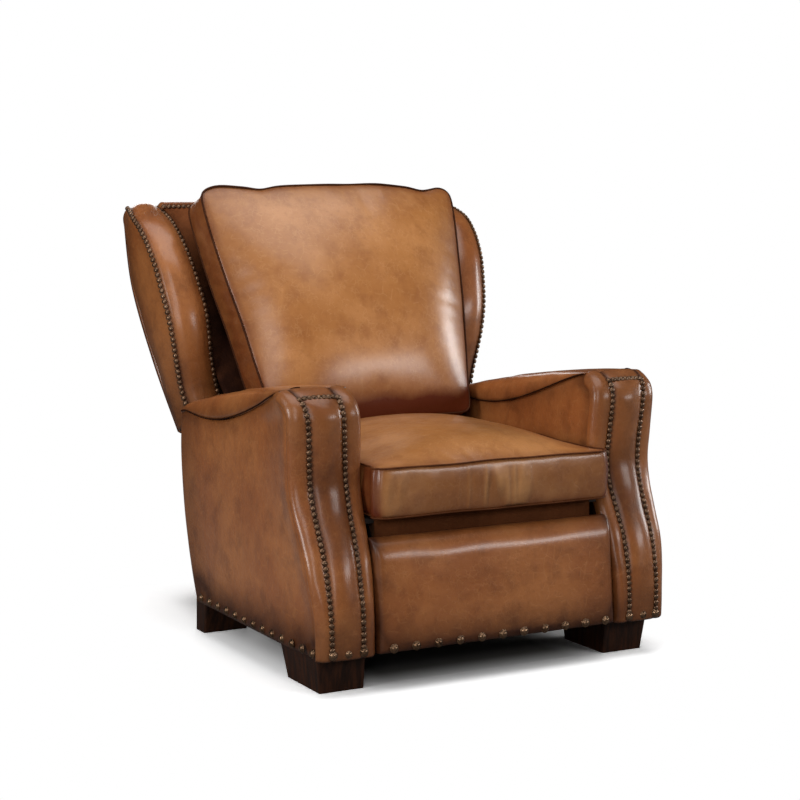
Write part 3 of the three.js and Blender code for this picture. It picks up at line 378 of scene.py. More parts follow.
# a darker copy of the brown leather for the lip, the seams, the seat's front rail and the panel inside the back,
# which sit in shade: painted shade
shadeLeather = leatherFinish("shaded_leather", [
    (106, 58, 29), (120, 68, 36), (78, 41, 20), (134, 84, 48), (36, 16, 8)], 0.6, 0.0, 0.05)
weltLeather = leatherFinish("welt_leather", [
    (84, 45, 23), (98, 54, 29), (60, 31, 16), (110, 68, 40), (40, 20, 11)], 0.55, 0.0, 0.07)


def woodFinish(name, dark, light, rough):
    # straight grain: noise drawn out along the piece, with fine pores across it
    make = Finish(name)
    dark, light = colour(*dark), colour(*light)
    grain = make.noise(7, 5, 0.6, make.stretched((14, 14, 1.6)))
    pores = make.noise(60, 2, 0.5, make.stretched((9, 9, 0.8))).between(0.55, 0.7)
    tone = make.blend(pores * 0.4, make.blend(grain.between(0.35, 0.65), dark, light), dark)
    return make.close(Base_Color=tone, Roughness=rough + (grain - 0.5) * 0.2, Specular_IOR_Level=0.2,
                      Normal=make.bump(grain + pores * 0.5, 0.0003))


espressoWood = woodFinish("espresso_wood", (34, 17, 9), (62, 33, 17), 0.55)
# the frame wood is dark so that frame seen through gaps reads as painted shade
darkFrameWood = woodFinish("dark_frame_wood", (58, 36, 21), (88, 58, 36), 0.62)


def metalFinish(name, dark, light, rough, worn=None, metal=1.0):
    # metal with a thin uneven film: noise moves its colour and gloss, and worn tips are brighter
    make = Finish(name)
    film = make.noise(140, 3, 0.6)
    tone = make.blend(film.between(0.35, 0.7), colour(*light), colour(*dark))
    if worn:
        tone = make.blend(make.mark("tone") * 0.35, tone, colour(*worn))
    return make.close(Base_Color=tone, Metallic=metal, Roughness=rough + (film - 0.5) * 0.25,
                      Normal=make.bump(make.noise(900, 2, 0.5), 0.00012))


antiqueBrass = metalFinish("antique_brass", (60, 40, 27), (114, 86, 62), 0.3, (168, 136, 108), 0.9)
darkBrass = metalFinish("dark_brass", (58, 40, 28), (112, 84, 62), 0.36, (156, 124, 98), 0.8)
blackSteel = metalFinish("black_steel", (24, 25, 27), (52, 54, 57), 0.42)
springSteel = metalFinish("spring_steel", (84, 86, 90), (138, 140, 144), 0.34)


def clothFinish(name, warp, weft):
    # plain weave: two waves at right angles, one thread over the other
    make = Finish(name)
    inputs = dict(Vector=make.places, Scale=260.0)
    across, along = (make.out("ShaderNodeTexWave", dict(bands_direction=axis), inputs) for axis in "XY")
    return make.close(Base_Color=make.blend(across, colour(*warp), colour(*weft)),
                      Roughness=0.9 + (along - 0.5) * 0.1, Normal=make.bump(across + along, 0.0004))


deckCloth = clothFinish("deck_cloth", (30, 24, 20), (52, 42, 35))


def place(piece, body, material, *nodes, slot=None, fill=None):
    # one finished piece: its material, its body, the solids it stands for
    piece.data.materials.append(material)
    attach(piece, body)
    if nodes:
        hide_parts(*nodes)


smallTurn = np.radians([0, 18, 36, 54, 72, 90])
nailKinds = dict(
    # a small head is a plain dome; a large one has a low collar, a narrow groove and a dome
    small=(darkBrass, np.stack([6.1 * np.cos(smallTurn), 4.6 * np.sin(smallTurn) - 0.3], -1), 12),
    large=(antiqueBrass, [(9.6, -0.6), (9.6, 0.8), (8.6, 1.5), (7.4, 0.7), (7, 2.6), (5.9, 4.4), (4.2, 5.7),
                          (2.2, 6.5), (0, 6.8)], 16))


def nails(name, body, kind, places, ways, seed, *nodes):
    material, profile, sides = nailKinds[kind]
    ways = np.broadcast_to(ways, places.shape)
    place(domes(name, places, ways, profile, sides, seed), body, material, *nodes, slot="antique_brass")


arm = dict(inner=288, outer=414, toe=5, waist=84, foot=76, height=605, length=734, topDrop=91, endDrop=18,
           endReach=60, sag=52, topEdge=5, overhang=5, rearFoot=648, rearLean=84, padThick=30, crown=10,
           bulge=16, boardThick=9, nails=(319, 387), middle=353, nailPitch=12.1, nailFirst=24, nailLast=42,
           bigPitch=47.6, bigFirst=611, bigHeight=90, seamRadius=1.7)
armFrontShares = [(0, 0), (0, .1), (.06, .206), (.25, .333), (.56, .448), (.845, .546), (1, .641),
                  (.976, .745), (.917, .858), (.94, .915), (1.09, .959), (1.36, .986), (1.607, 1)]
armRearShares = [(0, 0), (.4, .18), (.82, .46), (1, .76), (.9, .95)]
frontRise = arm["height"] - arm["foot"]
rearRise = frontRise - arm["topDrop"]
fineFront = splineAt([(arm["toe"] + arm["waist"] * a, arm["foot"] + frontRise * b) for a, b in armFrontShares],
                     np.linspace(0, 1, 900))
rearLine = splineAt([(arm["rearFoot"] + arm["rearLean"] * a, arm["foot"] + rearRise * b) for a, b in armRearShares],
                    np.linspace(0, 1, 300))
frontReach = reachOf(fineFront)
noseEnd = fineFront[-1, 0]


def armRearAt(z):
    return np.interp(z, rearLine[:, 1], rearLine[:, 0])


def armFrontAt(share, out):
    # the arm's front line by distance along it, moved out square to itself; its last way is level
    want = np.asarray(share, float) * frontReach[-1]
    at = lambda reach: np.stack([np.interp(reach, frontReach, fineFront[:, k]) for k in (0, 1)], -1)
    spot, way = at(want), at(want + 2) - at(want - 2)
    way[..., 1] *= 1 - smooth(np.asarray(share, float), 0.985, 1)
    way = unit(way)
    return spot[..., 0] - way[..., 1] * out, spot[..., 1] + way[..., 0] * out


def armShareAt(y):
    return (y - noseEnd) / (arm["length"] - noseEnd)


def armTopAt(y):
    # the top line falls to the rear and rounds off over its last stretch
    fall = arm["topDrop"] * np.clip(armShareAt(y), 0, 1) ** 1.4
    return arm["height"] - fall - arm["endDrop"] * np.clip((y - arm["length"]) / arm["endReach"] + 1, 0, 1) ** 2


def armSeamAt(y):
    # underside of the top pad: the top line less a sag that is deepest behind the middle
    share = np.clip(armShareAt(y), 0, 1)
    return armTopAt(y) - arm["sag"] * hump(share ** 1.15) - arm["topEdge"]


# how far the inner edge, the inner row, the outer row and the outer edge leave their places up the front
armShifts = [(288, [0, 0, -4, -9, -12, -12, -9, -2]), (319, [0, 0, 0, -3, -5, -1, 4, 9]),
             (387, [1, 2, 3, 4, 6, 9, 15, 30]), (418, [-9, -7, 0, 3, 8, 12, 15, 20])]


def armShiftAt(x, share):
    # each section place moves with the two shifts it lies between
    stops = [stop for stop, _ in armShifts]
    shifts = [splineAt(np.array(moves, float)[:, None], share)[..., 0] for _, moves in armShifts]
    moved = shifts[0]
    for k in range(len(stops) - 1):
        moved = moved + (shifts[k + 1] - shifts[k]) * np.clip((x - stops[k]) / (stops[k + 1] - stops[k]), 0, 1)
    return moved


def armFrontPad():
    # Section across the front, carried up the front line: round corner, nail groove, crowned middle,
    # nail groove, valley and the outer roll.
    section = np.array([
        (290, -30), (288, -24), (288, -16), (290.5, -8), (296, -2), (303, .8), (310, .6), (315, -1), (319, -3),
        (324, -.8), (331, .6), (342, 1.2), (353, 1.4), (364, 1.2), (375, .6), (382, -.8), (387, -3),
        (391, -1.4), (396, -1.2), (402, -1.9), (408, -3.5), (413.5, -6), (418.5, -9.6), (422, -14), (424, -19.5),
        (422, -25.5), (415, -30)])
    crown = np.clip(1 - ((section[:, :1] - arm["middle"]) / 31) ** 2, 0, None)
    u, share = np.linspace(0, 1, 92), np.linspace(0, 1, 150)[:, None]
    x, depth = splineAt(section, u).T[:, None]
    reach = share * frontReach[-1]
    lift = smooth(share, .05, .22) * (1 - smooth(share, .84, .95)) * splineAt(crown, u).T
    edge = quarter(reach / 7)
    out = depth + (arm["crown"] - 1.4) * lift - 5 * edge * (depth > -24)
    push = ripple(spots(x, *armFrontAt(share, out)), 70, 11) * 0.7 * smooth(out, -20, -2)
    points = spots(x + armShiftAt(x, share), *armFrontAt(share, out + push))
    inner, outer = arm["nails"]
    near = np.minimum(np.abs(x - inner), np.abs(x - outer))
    between = smooth(share, .3, .42) * (1 - smooth(share, .6, .8)) * (x > inner) * (x < outer)
    # darker in the nail grooves, along the foot and the corners, between the rows at mid height and near the top:
    # partly burnish, partly painted shade
    burnishAndShade = (.26 + .5 * np.exp(-(near / 5) ** 2) + .25 * edge + .3 * between
               + .35 * (1 - smooth(reach, 5, 110)) + .2 * smooth(share, .7, .9))
    return points, np.clip(burnishAndShade, 0, .95)


def frontNailPlaces():
    # two rows up the front and a short row across between their upper ends
    first, last = arm["nailFirst"], frontReach[-1] - arm["nailLast"]
    share = np.linspace(first, last, int(round((last - first) / arm["nailPitch"]))) / frontReach[-1]
    low, high = np.array(armFrontAt(share, -.9)), np.array(armFrontAt(share, 9.))
    rows = [spots(x + armShiftAt(x, share), *low) for x in arm["nails"]]
    ways = [spots(0, *(high - low))] * 2
    across = np.linspace(rows[0][-1, 0], rows[1][-1, 0], 9)[1:-1]
    out = 1 + np.clip(1 - ((across - across.mean()) / 40) ** 2, 0, 1)
    rows.append(spots(across, *armFrontAt(share[-1], out)))
    ways.append(np.broadcast_to(ways[0][-1], rows[-1].shape))
    return np.concatenate(rows), np.concatenate(ways)


def armSwellAt(share):
    # how far the top pad stands over the outer side
    return np.maximum(arm["overhang"] * hump(share), arm["bulge"] * (1 - smooth(share, 0, .35)))


def armTopPad():
    # half superellipse on the seam line of each station; the rear end rounds down and in
    y = np.linspace(noseEnd + .3, arm["length"], 130)[:, None]
    share = (y - y[0]) / (y[-1] - y[0])
    rounding = np.sqrt(1 - np.clip(1 - (arm["length"] - y) / 38, 0, .97) ** 2)
    foot = armSeamAt(y)
    deep = (armTopAt(y) - foot) * (.35 + .65 * rounding)
    inner = arm["inner"] - arm["overhang"] * hump(share) + 10 * (1 - rounding)
    outer = arm["outer"] + armSwellAt(share) - 12 * (1 - rounding)
    turn = np.pi * np.linspace(0, 1, 64)[None]
    sine, across = np.sin(turn), np.sign(np.cos(turn)) * np.abs(np.cos(turn)) ** .55
    points = spots(mix(inner, outer, (1 - across) / 2), y,
                   foot + deep * sine ** .6 + 1.5 * sine ** 2 * hump(share, .5))
    points[..., 2] += ripple(points, 90, 5) * .8 * sine * hump(share)
    # darker down towards both seams and at both ends: partly burnish, partly painted shade under the pad's edges
    burnishAndShade = .05 + .45 * (1 - sine ** .5) + .3 * (1 - smooth(share, 0, .14)) + .3 * smooth(share, .9, 1)
    return points, np.clip(burnishAndShade, 0, .9)


def armFace(out):
    # Side of the arm behind the front pad, from its front line to its rear line and from the bottom
    # to the top seam. Each column's top is found by repeating place and seam height in turn.
    lineY, lineZ = armFrontAt(np.linspace(0, 1, 500), -arm["padThick"] - .3)
    frontAt = lambda z: np.where(z > lineZ[-1], noseEnd + .3, np.interp(z, lineZ, lineY))
    u, v = shares(90, 70)
    top = np.full_like(u, 560.)
    for _ in range(60):
        top = .5 * top + .5 * (armSeamAt(frontAt(top) * (1 - u) + armRearAt(top) * u) - .6)
    z = mix(arm["foot"], top, v)
    return u, v, frontAt(z) * (1 - u) + (armRearAt(z) - out) * u, z


def armOutside():
    # the side face, a round rear corner and the rear face, as one grid with a wall behind it
    corner, backColumns = 14, 23
    u, v, y, z = armFace(corner)
    rear, height = armRearAt(z[:, -1:]), z[:, -1:]
    crown = 3.2 * hump(u, .5) * hump(v, .35)
    edge = 2.5 * (1 - smooth(u, 0, .02)) + 2.5 * (1 - smooth(v, 0, .02))
    behind = y - y[:, :1]
    share = np.interp(z, fineFront[:, 1], frontReach / frontReach[-1])
    flare = armShiftAt(armShifts[-1][0], share) * (1 - smooth(behind, 0, 150)) + 5 * (1 - smooth(behind, 0, 60))
    side = spots(arm["outer"] + crown - edge + flare, y, z)
    side[..., 0] += ripple(side, 160, 3) * hump(v, .5)
    turn = np.linspace(0, np.pi / 2, 9)[None, 1:]
    bend = spots(arm["outer"] - corner + corner * np.cos(turn), rear - corner + corner * np.sin(turn), height)
    t = np.linspace(0, 1, backColumns + 1)[None, 1:]
    back = spots((arm["outer"] - corner) * (1 - t) + (arm["inner"] + 1) * t,
                 rear + 2.5 * hump(t, .5) * hump(v, .4), height)
    outer = np.concatenate([side, bend, back], 1)
    bearing = np.concatenate([0 * u[0], turn[0], np.full(backColumns, np.pi / 2)])
    inner = outer - arm["boardThick"] * spots(np.cos(bearing), np.sin(bearing), 0)
    # darker along the bottom, at the front edge, the top and towards the rear: partly burnish, partly painted shade
    # towards the floor
    low = 1 - smooth(v, .02, .24)
    burnishAndShade = (.05 + .85 * low + .1 * (1 - smooth(u, 0, .06)) + .25 * smooth(v, .9, 1)
               + .45 * smooth(u, .76, 1))
    burnishAndShade = np.concatenate([burnishAndShade, np.tile(.35 + .4 * low, (1, len(bearing) - u.size))], 1)
    return outer, inner, np.clip(burnishAndShade, 0, .9)


def armInside():
    # the side face again, with a low crown to the seat and a board's thickness behind it
    u, v, y, z = armFace(0)
    crown = 2.2 * hump(u, .4) * hump(v, .3)
    face = spots(arm["inner"] + 2.5 - crown * 1.4, y, z)
    # darker at the front, at the top and over the lower half beside the seat: partly burnish, partly painted shade
    burnishAndShade = .1 + .45 * (1 - smooth(u, 0, .1)) + .3 * smooth(v, .88, 1) + .7 * (1 - smooth(v, .4, .8))
    return face, face + [arm["boardThick"], 0, 0], np.clip(burnishAndShade, 0, .95)


armCovers = [("front", "front_pad", armFrontPad(), .8), ("top", "top_pad", armTopPad(), .8),
             ("outside", "outside_panel", armOutside(), .9), ("inside", "inside_board", armInside(), .9)]
# seam lines under both sides of the top pad, dark as a painted shadow; the outer one starts across the front pad's
# corner
seamStart = [(392, 137, 606.2), (397, 139, 606.4), (404, 141, 605.4), (411, 142.5, 603.2), (418, 145, 599)]
y = np.linspace(noseEnd + 8, arm["length"] - 22, 120)
share = armShareAt(y)
outerSeam = spots(arm["outer"] + armSwellAt(share) + .4, y, armSeamAt(y) + .5)
outerSeam = np.concatenate([splineAt(seamStart, np.linspace(0, 1, 24)), outerSeam[6:]])
innerSeam = spots(arm["inner"] - arm["overhang"] * hump(share) - .4, y, armSeamAt(y) + .5)
# large nails along the bottom of the side and across the front of the foot
y = np.arange(arm["bigFirst"], 30, -arm["bigPitch"])
toe = [(x, arm["toe"] - .6, arm["bigHeight"]) for x in (arm["nails"][0], arm["middle"], arm["nails"][1])]
bigPlaces = np.concatenate([spots(arm["outer"] + 1, y, arm["bigHeight"]), toe])
bigWays = np.array([(1., 0, 0)] * len(y) + [(0, -1., 0)] * len(toe))
smallPlaces, smallWays = frontNailPlaces()
for side, sign in hands:
    for label, node, parts, fill in armCovers:
        piece = shaped(f"arm_{label}_leather_{side}", parts, sign)
        place(piece, "base", armLeather, f"arm_{node}_{side}", slot="tan_leather", fill=fill)
    nails(f"arm_nails_{side}", "base", "small", mirrored(smallPlaces, sign), mirrored(smallWays, sign), 21 + sign,
          f"arm_front_trim_{side}")
    for label, line in (("outer", outerSeam), ("inner", innerSeam)):
        line = mirrored(evenAlong(line, 150), sign)
        piece = cord(f"arm_seam_{label}_{side}", line, arm["seamRadius"], upward, burnishAndShade=.95)
        place(piece, "base", shadeLeather, slot="dark_leather")
    nails(f"arm_large_nails_{side}", "base", "large", mirrored(bigPlaces, sign), mirrored(bigWays, sign), 31 + sign)
print("arms made")


# base cover behind the seat: the arms' rear line carried across, with a low crown
cover = dict(foot=78, top=238, thick=12, half=287.4, pitch=50, nailHeight=90)
u, v = shares(60, 30, -1)
z = mix(cover["foot"], cover["top"], v)
outer = spots(cover["half"] * u, armRearAt(z) + 1.5 * (1 - u ** 4) * hump(v, .4), z)
# darker along the bottom and the top: partly burnish, partly painted shade
burnishAndShade = np.clip(.2 + .5 * (1 - smooth(v, 0, .2)) + .4 * smooth(v, .85, 1), 0, .9)
piece = slab("base_rear_leather", outer, outer - [0, cover["thick"], 0], burnishAndShade)
place(piece, "base", armLeather, "base_rear_cover", slot="tan_leather", fill=.9)
heads = spots(np.arange(-5, 6) * cover["pitch"], armRearAt(cover["nailHeight"]) + 1, cover["nailHeight"])
nails("base_rear_nails", "base", "large", heads, [0, 1., -.2], 41)


def wallRows(face, back, rows, crinkle, centre=None):
    # rows between two seams, pushed out by a fine crinkle that fades at both
    rim = rimOf(*face.shape[:2])
    t = np.linspace(0, 1, rows + 1)[1:-1, None, None]
    line = face.reshape(-1, 3)[rim] * (1 - t) + back.reshape(-1, 3)[rim] * t
    if centre is None:
        out = unit(line - line.mean((0, 1)))
    else:
        out = unit((line - centre) * [1, 1, 0])
    push = ripple(line * crinkle["squeeze"], crinkle["wave"], crinkle["seed"]) * crinkle["size"]
    return line + out * (push * hump(t[..., 0]))[..., None]


def boxCushion(name, face, back, strip, marks):
    # Two grids whose rims are the seams, joined by the strip's rows. Each mark has a value or an array for
    # the face, the back and the strip.
    rows, columns = face.shape[:2]
    count, grid, rim = rows * columns, quads(rows, columns), rimOf(rows, columns)
    parts = (face, back, strip)
    points = np.concatenate([part.reshape(-1, 3) for part in parts])
    marks = {label: np.concatenate([np.broadcast_to(value, part.shape[:2]).ravel()
                                    for value, part in zip(values, parts)]) for label, values in marks.items()}
    inner = 2 * count + np.arange(len(strip) * len(rim)).reshape(len(strip), -1)
    loops = np.concatenate([rim[None], inner, rim[None] + count])
    onward = np.roll(loops, -1, 1)
    band = np.stack([loops[:-1], onward[:-1], onward[1:], loops[1:]], -1).reshape(-1, 4)
    # the strip runs against the front grid's rim
    piece = closedPiece(name, points, [grid, grid[:, ::-1] + count, band[:, ::-1]], marks)
    return piece, np.concatenate([rim, rim + count])


def inflate(piece, pins, pressure, growth, cap, frames=20, stiff=12.0):
    # Cloth filled with air: seams are pinned, gravity is off, and no point moves further than the cap.
    def read(mesh):
        values = np.empty(len(mesh.vertices) * 3)
        mesh.vertices.foreach_get("co", values)
        return values.reshape(-1, 3)

    rest = read(piece.data)
    group = piece.vertex_groups.new(name="seams")
    group.add(pins.tolist(), 1.0, "REPLACE")
    cloth = piece.modifiers.new("cloth", "CLOTH")
    settings = dict(quality=6, mass=.35, tension_stiffness=stiff, compression_stiffness=stiff,
                    shear_stiffness=stiff / 2, bending_stiffness=1.2, use_pressure=True,
                    uniform_pressure_force=pressure, shrink_min=-growth, vertex_group_mass="seams")
    for label, value in settings.items():
        setattr(cloth.settings, label, value)
    cloth.settings.effector_weights.gravity = 0
    cloth.collision_settings.use_self_collision = False
    cloth.point_cache.frame_start, cloth.point_cache.frame_end = 1, frames
    for number in range(1, frames + 1):
        bpy.context.scene.frame_set(number)
    step = read(piece.evaluated_get(bpy.context.evaluated_depsgraph_get()).data) - rest
    piece.modifiers.remove(cloth)
    piece.vertex_groups.remove(group)
    bpy.context.scene.frame_set(1)
    far = np.linalg.norm(step, axis=1, keepdims=True)
    return rest, rest + step * np.minimum(1, cap / np.maximum(far, 1e-9))


def rubbed(grid, passes):
    # the finest puckers go as each inner place is taken towards its neighbours
    for _ in range(passes):
        near = grid[:-2, 1:-1] + grid[2:, 1:-1] + grid[1:-1, :-2] + grid[1:-1, 2:]
        grid[1:-1, 1:-1] = (grid[1:-1, 1:-1] * 2 + near) / 6
    return grid


def finishCushion(piece, held):
    # the cushion's final points and one level of rounding
    if held is not None:
        piece.data.vertices.foreach_set("co", held.ravel())
        piece.data.update()
    more = piece.modifiers.new("round", "SUBSURF")
    more.levels = more.render_levels = 1


def welt(name, body, seam, centre, axis, out, shift, radius, steps, burnishAndShade=0.0, limit=math.inf):
    # a cord along a closed seam, moved out from the seam's middle and along the axis
    away = seam - centre
    away = unit(away - (away @ axis)[:, None] * axis)
    line = seam + away * out + axis * shift
    line = evenAlong(np.concatenate([line, line[:1]]), steps)[:-1]
    line[:, 0] = np.clip(line[:, 0], -limit, limit)
    piece = cord(name, line, radius, axis, 10, True, burnishAndShade)
    place(piece, body, weltLeather, slot="tan_leather", fill=1)


seat = dict(half=282, front=25, length=573, foot=346, border=101.5, crown=55, corner=.045, step=8,
            pressure=4, growth=.014, cap=.026, swell=7, pinch=13, limit=287.2,
            crinkle=dict(squeeze=[1, 1, .18], wave=26, seed=19, size=.7),
            welt=dict(out=1.2, radius=1.8, steps=420, limit=285))
seatMiddle = np.array([0, seat["front"] + seat["length"] / 2, 0])


def seatSeam(u, v):
    # rounded oblong: each side is drawn in at the middle, and the corners are cut round
    inward = (1 - seat["corner"] * np.abs(u * v) ** 22) * (1 - .012 * (1 - np.abs(u * v) ** 2))
    y = seatMiddle[1] + seat["length"] / 2 * v * inward
    # the sides are drawn in more where they pass between the rolls of the arms
    half = seat["half"] - seat["pinch"] * smooth(y, 45, 70) * (1 - smooth(y, 188, 250))
    return half * u * inward, y


def seatCushion():
    # The face is the seam's level and a dome that falls to nothing at the rim; the border hangs below it.
    # Air pressure gives the leather its swell, and the dome and the border are then evened out.
    columns, rows = int(2 * seat["half"] / seat["step"]), int(seat["length"] / seat["step"])
    v, u = np.meshgrid(np.linspace(-1, 1, rows), np.linspace(-1, 1, columns), indexing="ij")
    x, y = seatSeam(u, v)
    foot, top = seat["foot"], seat["foot"] + seat["border"]
    dome = (1 - np.abs(u) ** 2.3) * (1 - np.abs(v) ** 2.8) ** .8
    wobble = ripple(spots(x, y, 0), 150, 8) * 1.2 * (1 - dome)
    face = spots(x, y, top + wobble + (seat["crown"] - 10) * dome)
    back = spots(x, y, foot + 1.5 - wobble * .6)
    strip = wallRows(face, back, 14, seat["crinkle"], seatMiddle)
    border, height = 1 - np.maximum(np.abs(u), np.abs(v)), strip[..., 2]
    # face darker round its rim, towards the sides and towards the rear by the back cushion; the underside and the
    # border darker, the border most at its foot and at its ends by the arms: partly burnish, partly painted shade
    faceBurnishAndShade = (.04 + .4 * (1 - smooth(border, 0, .1)) + .35 * smooth(np.abs(u), .5, 1)
                   + .3 * smooth(v, .5, 1))
    stripBurnishAndShade = (.44 + .22 * (1 - smooth(height, foot, foot + 12)) + .22 * smooth(height, foot + 30, foot)
                    + .5 * smooth(np.abs(strip[..., 0]), 256, 270))
    gather = hump(np.clip((height - foot) / seat["border"], 0, 1), .5)
    marks = dict(burnishAndShade=(faceBurnishAndShade, .8, stripBurnishAndShade), gather=(0, 0, gather))
    piece, pins = boxCushion("seat_cushion_leather", face, back, strip, marks)
    count, held = rows * columns, None
    rest, held = inflate(piece, pins, seat["pressure"], seat["growth"], seat["cap"])
    held[count:2 * count, 2] = rest[count:2 * count, 2]
    even = rubbed((held[:count, 2] * 1000 - top).reshape(rows, columns), 10)
    lift = (even * (1 - .42 * u ** 2 - .2 * np.clip(v, 0, 1) ** 2)).ravel()
    held[:count, 2] = (top + lift * (seat["crown"] / lift.max())) / 1000
    # the border keeps an even swell between its seams
    wall = rest[2 * count:]
    level = np.clip((wall[:, 2] * 1000 - foot) / seat["border"], 0, 1)
    away = unit((wall - toRow(seatMiddle)) * [1, 1, 0])
    held[2 * count:] = wall + away * (seat["swell"] * hump(level, .6) / 1000)[:, None]
    held[:, 0] = np.clip(held[:, 0], -seat["limit"] / 1000, seat["limit"] / 1000)
    finishCushion(piece, held)
    return piece, face, back


piece, face, back = seatCushion()
place(piece, "seat", tanLeather, "seat_cushion", slot="tan_leather", fill=.8)
rim = rimOf(*face.shape[:2])
for label, side, shift in (("top", face, .8), ("foot", back, .6)):
    welt(f"seat_welt_{label}", "seat", side.reshape(-1, 3)[rim], seatMiddle, upward, shift=shift, **seat["welt"])
print("seat cushion made")


pillow = dict(footHalf=255, topHalf=333, foot=35, height=565, frontWelt=-101, rearWelt=-18, frontCrown=62,
              rearCrown=11, topRise=16, corner=.03, step=8.5, pressure=4, growth=.008, cap=.026, bow=7,
              crinkle=dict(squeeze=[1, .25, 1], wave=30, seed=29, size=.8),
              welt=dict(out=-.5, radius=2.3, steps=440, burnishAndShade=.6),
              topWaves=[(-.86, 9, .14), (-.53, -6, .09), (.36, 4, .2), (.74, -6, .08), (.92, 8, .08)])


def pillowSeam(u, v):
    # a tall oblong, wider at its top; the top edge rises to its middle and has a dip beside each ear
    shrink = 1 - pillow["corner"] * np.abs(u * v) ** 18
    u, v = u * shrink * (1 - .016 * (1 - np.abs(u * v) ** 2)), v * shrink
    half = mix(pillow["footHalf"], pillow["topHalf"], (v + 1) / 2)
    half = half + pillow["bow"] * hump(np.clip((v + 1) / 2, 0, 1) ** 1.6)
    waves = sum(size * np.exp(-((u - spot) / reach) ** 2) for spot, size, reach in pillow["topWaves"])
    lift = np.clip(v, 0, 1) ** 4 * (pillow["topRise"] * np.cos(np.pi / 2 * u) + waves)
    return u * half - 3 * np.clip(v, 0, 1), pillow["foot"] + pillow["height"] / 2 * (1 + v) + lift


def backCushion():
    # Face and rear are the levels of their welts with a dome each, in the leaning frame of the back. The
    # swell of the face is a mix of cloth under pressure and a plain dome.
    columns, rows = int(600 / pillow["step"]), int(pillow["height"] / pillow["step"])
    v, u = np.meshgrid(np.linspace(-1, 1, rows), np.linspace(-1, 1, columns), indexing="ij")
    x, h = pillowSeam(u, v)
    dome = (1 - np.abs(u) ** 3.4) * (1 - np.abs(v) ** 3) ** .9
    wobble = ripple(spots(x, h, 0), 130, 14) * 2.2 * (1 - dome)
    face = leaning(x, pillow["frontWelt"] + wobble - (pillow["frontCrown"] - 8) * dome, h)
    back = leaning(x, pillow["rearWelt"] + wobble + (pillow["rearCrown"] - 3) * dome, h)
    strip = wallRows(face, back, 12, pillow["crinkle"])
    border = 1 - np.maximum(np.abs(u), np.abs(v))
    # face darker round its rim and strongly over its lower part, rear and strip dark throughout: partly burnish,
    # partly painted shade where the cushion turns down to the seat and sits between the wings
    faceBurnishAndShade = (.03 + .4 * (1 - smooth(border, 0, .07)) + .3 * (1 - smooth(border, 0, .3))
                   + .3 * smooth(-v, .45, .9) + .7 * smooth(-v, .72, .97))
    piece, pins = boxCushion("back_cushion_leather", face, back, strip, dict(burnishAndShade=(faceBurnishAndShade, .6, .74)))
    count, held = rows * columns, None
    _, held = inflate(piece, pins, pillow["pressure"], pillow["growth"], pillow["cap"])
    planes = (toRow(leaning(0, pillow[label], 300)) @ square for label in ("frontWelt", "rearWelt"))
    frontPlane, rearPlane = planes
    # the rear bulges no further than its crown
    rear = slice(count, 2 * count)
    over = np.maximum(held[rear] @ square - rearPlane - pillow["rearCrown"] / 1000, 0)
    held[rear] -= over[:, None] * square
    # the front mixes the rubbed cloth with a plain swell that is lower at the foot and the top
    loose = frontPlane - held[:count] @ square
    even = rubbed(loose.reshape(rows, columns).copy(), 5)
    swell = (1 - np.abs(u) ** 3.2) ** .9 * (1 - np.abs(v) ** 4) ** .85
    full = 1 - .3 * np.clip(-v, 0, 1) ** 2 - .22 * np.clip(v, 0, 1) ** 1.4
    depth = ((.55 * even / even.max() + .45 * swell) * full).ravel()
    depth *= pillow["frontCrown"] / 1000 / depth.max()
    held[:count] += (loose - depth)[:, None] * square
    finishCushion(piece, held)
    return piece, face, back


piece, face, back = backCushion()
place(piece, "back", tanLeather, "back_cushion", slot="tan_leather", fill=.8)
rim = rimOf(*face.shape[:2])
for label, side, shift in (("front", face, -.8), ("rear", back, .8)):
    seam = side.reshape(-1, 3)[rim]
    welt(f"back_welt_{label}", "back", seam, seam.mean(0), square, shift=shift, **pillow["welt"])
print("back cushion made")


panel = dict(half=283, bottom=79, height=228, lean=24, thick=36, crown=5, pitch=50.8, nailHeight=90,
             # reach and depth of each rounded edge
             sideRound=(17, 16), topRound=(46, 30), footRound=(15, 13))


def footrestPanel():
    # front grid set in near its rim by a quarter ellipse, deeper along the top, with a low crown
    u, v = (.5 - .5 * np.cos(np.pi * share) for share in shares(110, 80))
    x, z = -panel["half"] + 2 * panel["half"] * u, panel["bottom"] + panel["height"] * v
    fromSide, fromFoot = panel["half"] - np.abs(x), z - panel["bottom"]
    fromTop = panel["bottom"] + panel["height"] - z
    edges = ((fromSide, "sideRound"), (fromTop, "topRound"), (fromFoot, "footRound"))
    setIn = sum((panel[label][1] * quarter(gap / panel[label][0])) ** 2 for gap, label in edges) ** .5
    level = np.clip(fromFoot / panel["height"], 0, 1)
    crown = panel["crown"] * (1 - np.abs(x / panel["half"]) ** 6) * hump(level, .6)
    face = panel["lean"] * fromFoot / panel["height"]
    y = face + np.minimum(setIn, panel["thick"] - 4) - crown
    y = y + ripple(spots(x, 0, z), 120, 51) * .8 * np.clip(1 - setIn / 8, 0, 1)
    # darker along the sides, strongly along the foot, and along the top: partly burnish, partly painted shade
    # towards the floor
    edge = np.exp(-(np.minimum(fromSide, fromFoot) / 14) ** 2)
    burnishAndShade = (.02 + .5 * edge + .8 * np.exp(-(fromFoot / 50) ** 2) + .4 * np.exp(-(fromTop / 24) ** 2)
               + .15 * np.exp(-(fromSide / 60) ** 2))
    return spots(x, y, z), spots(x, face + panel["thick"], z), np.clip(burnishAndShade, 0, .9)


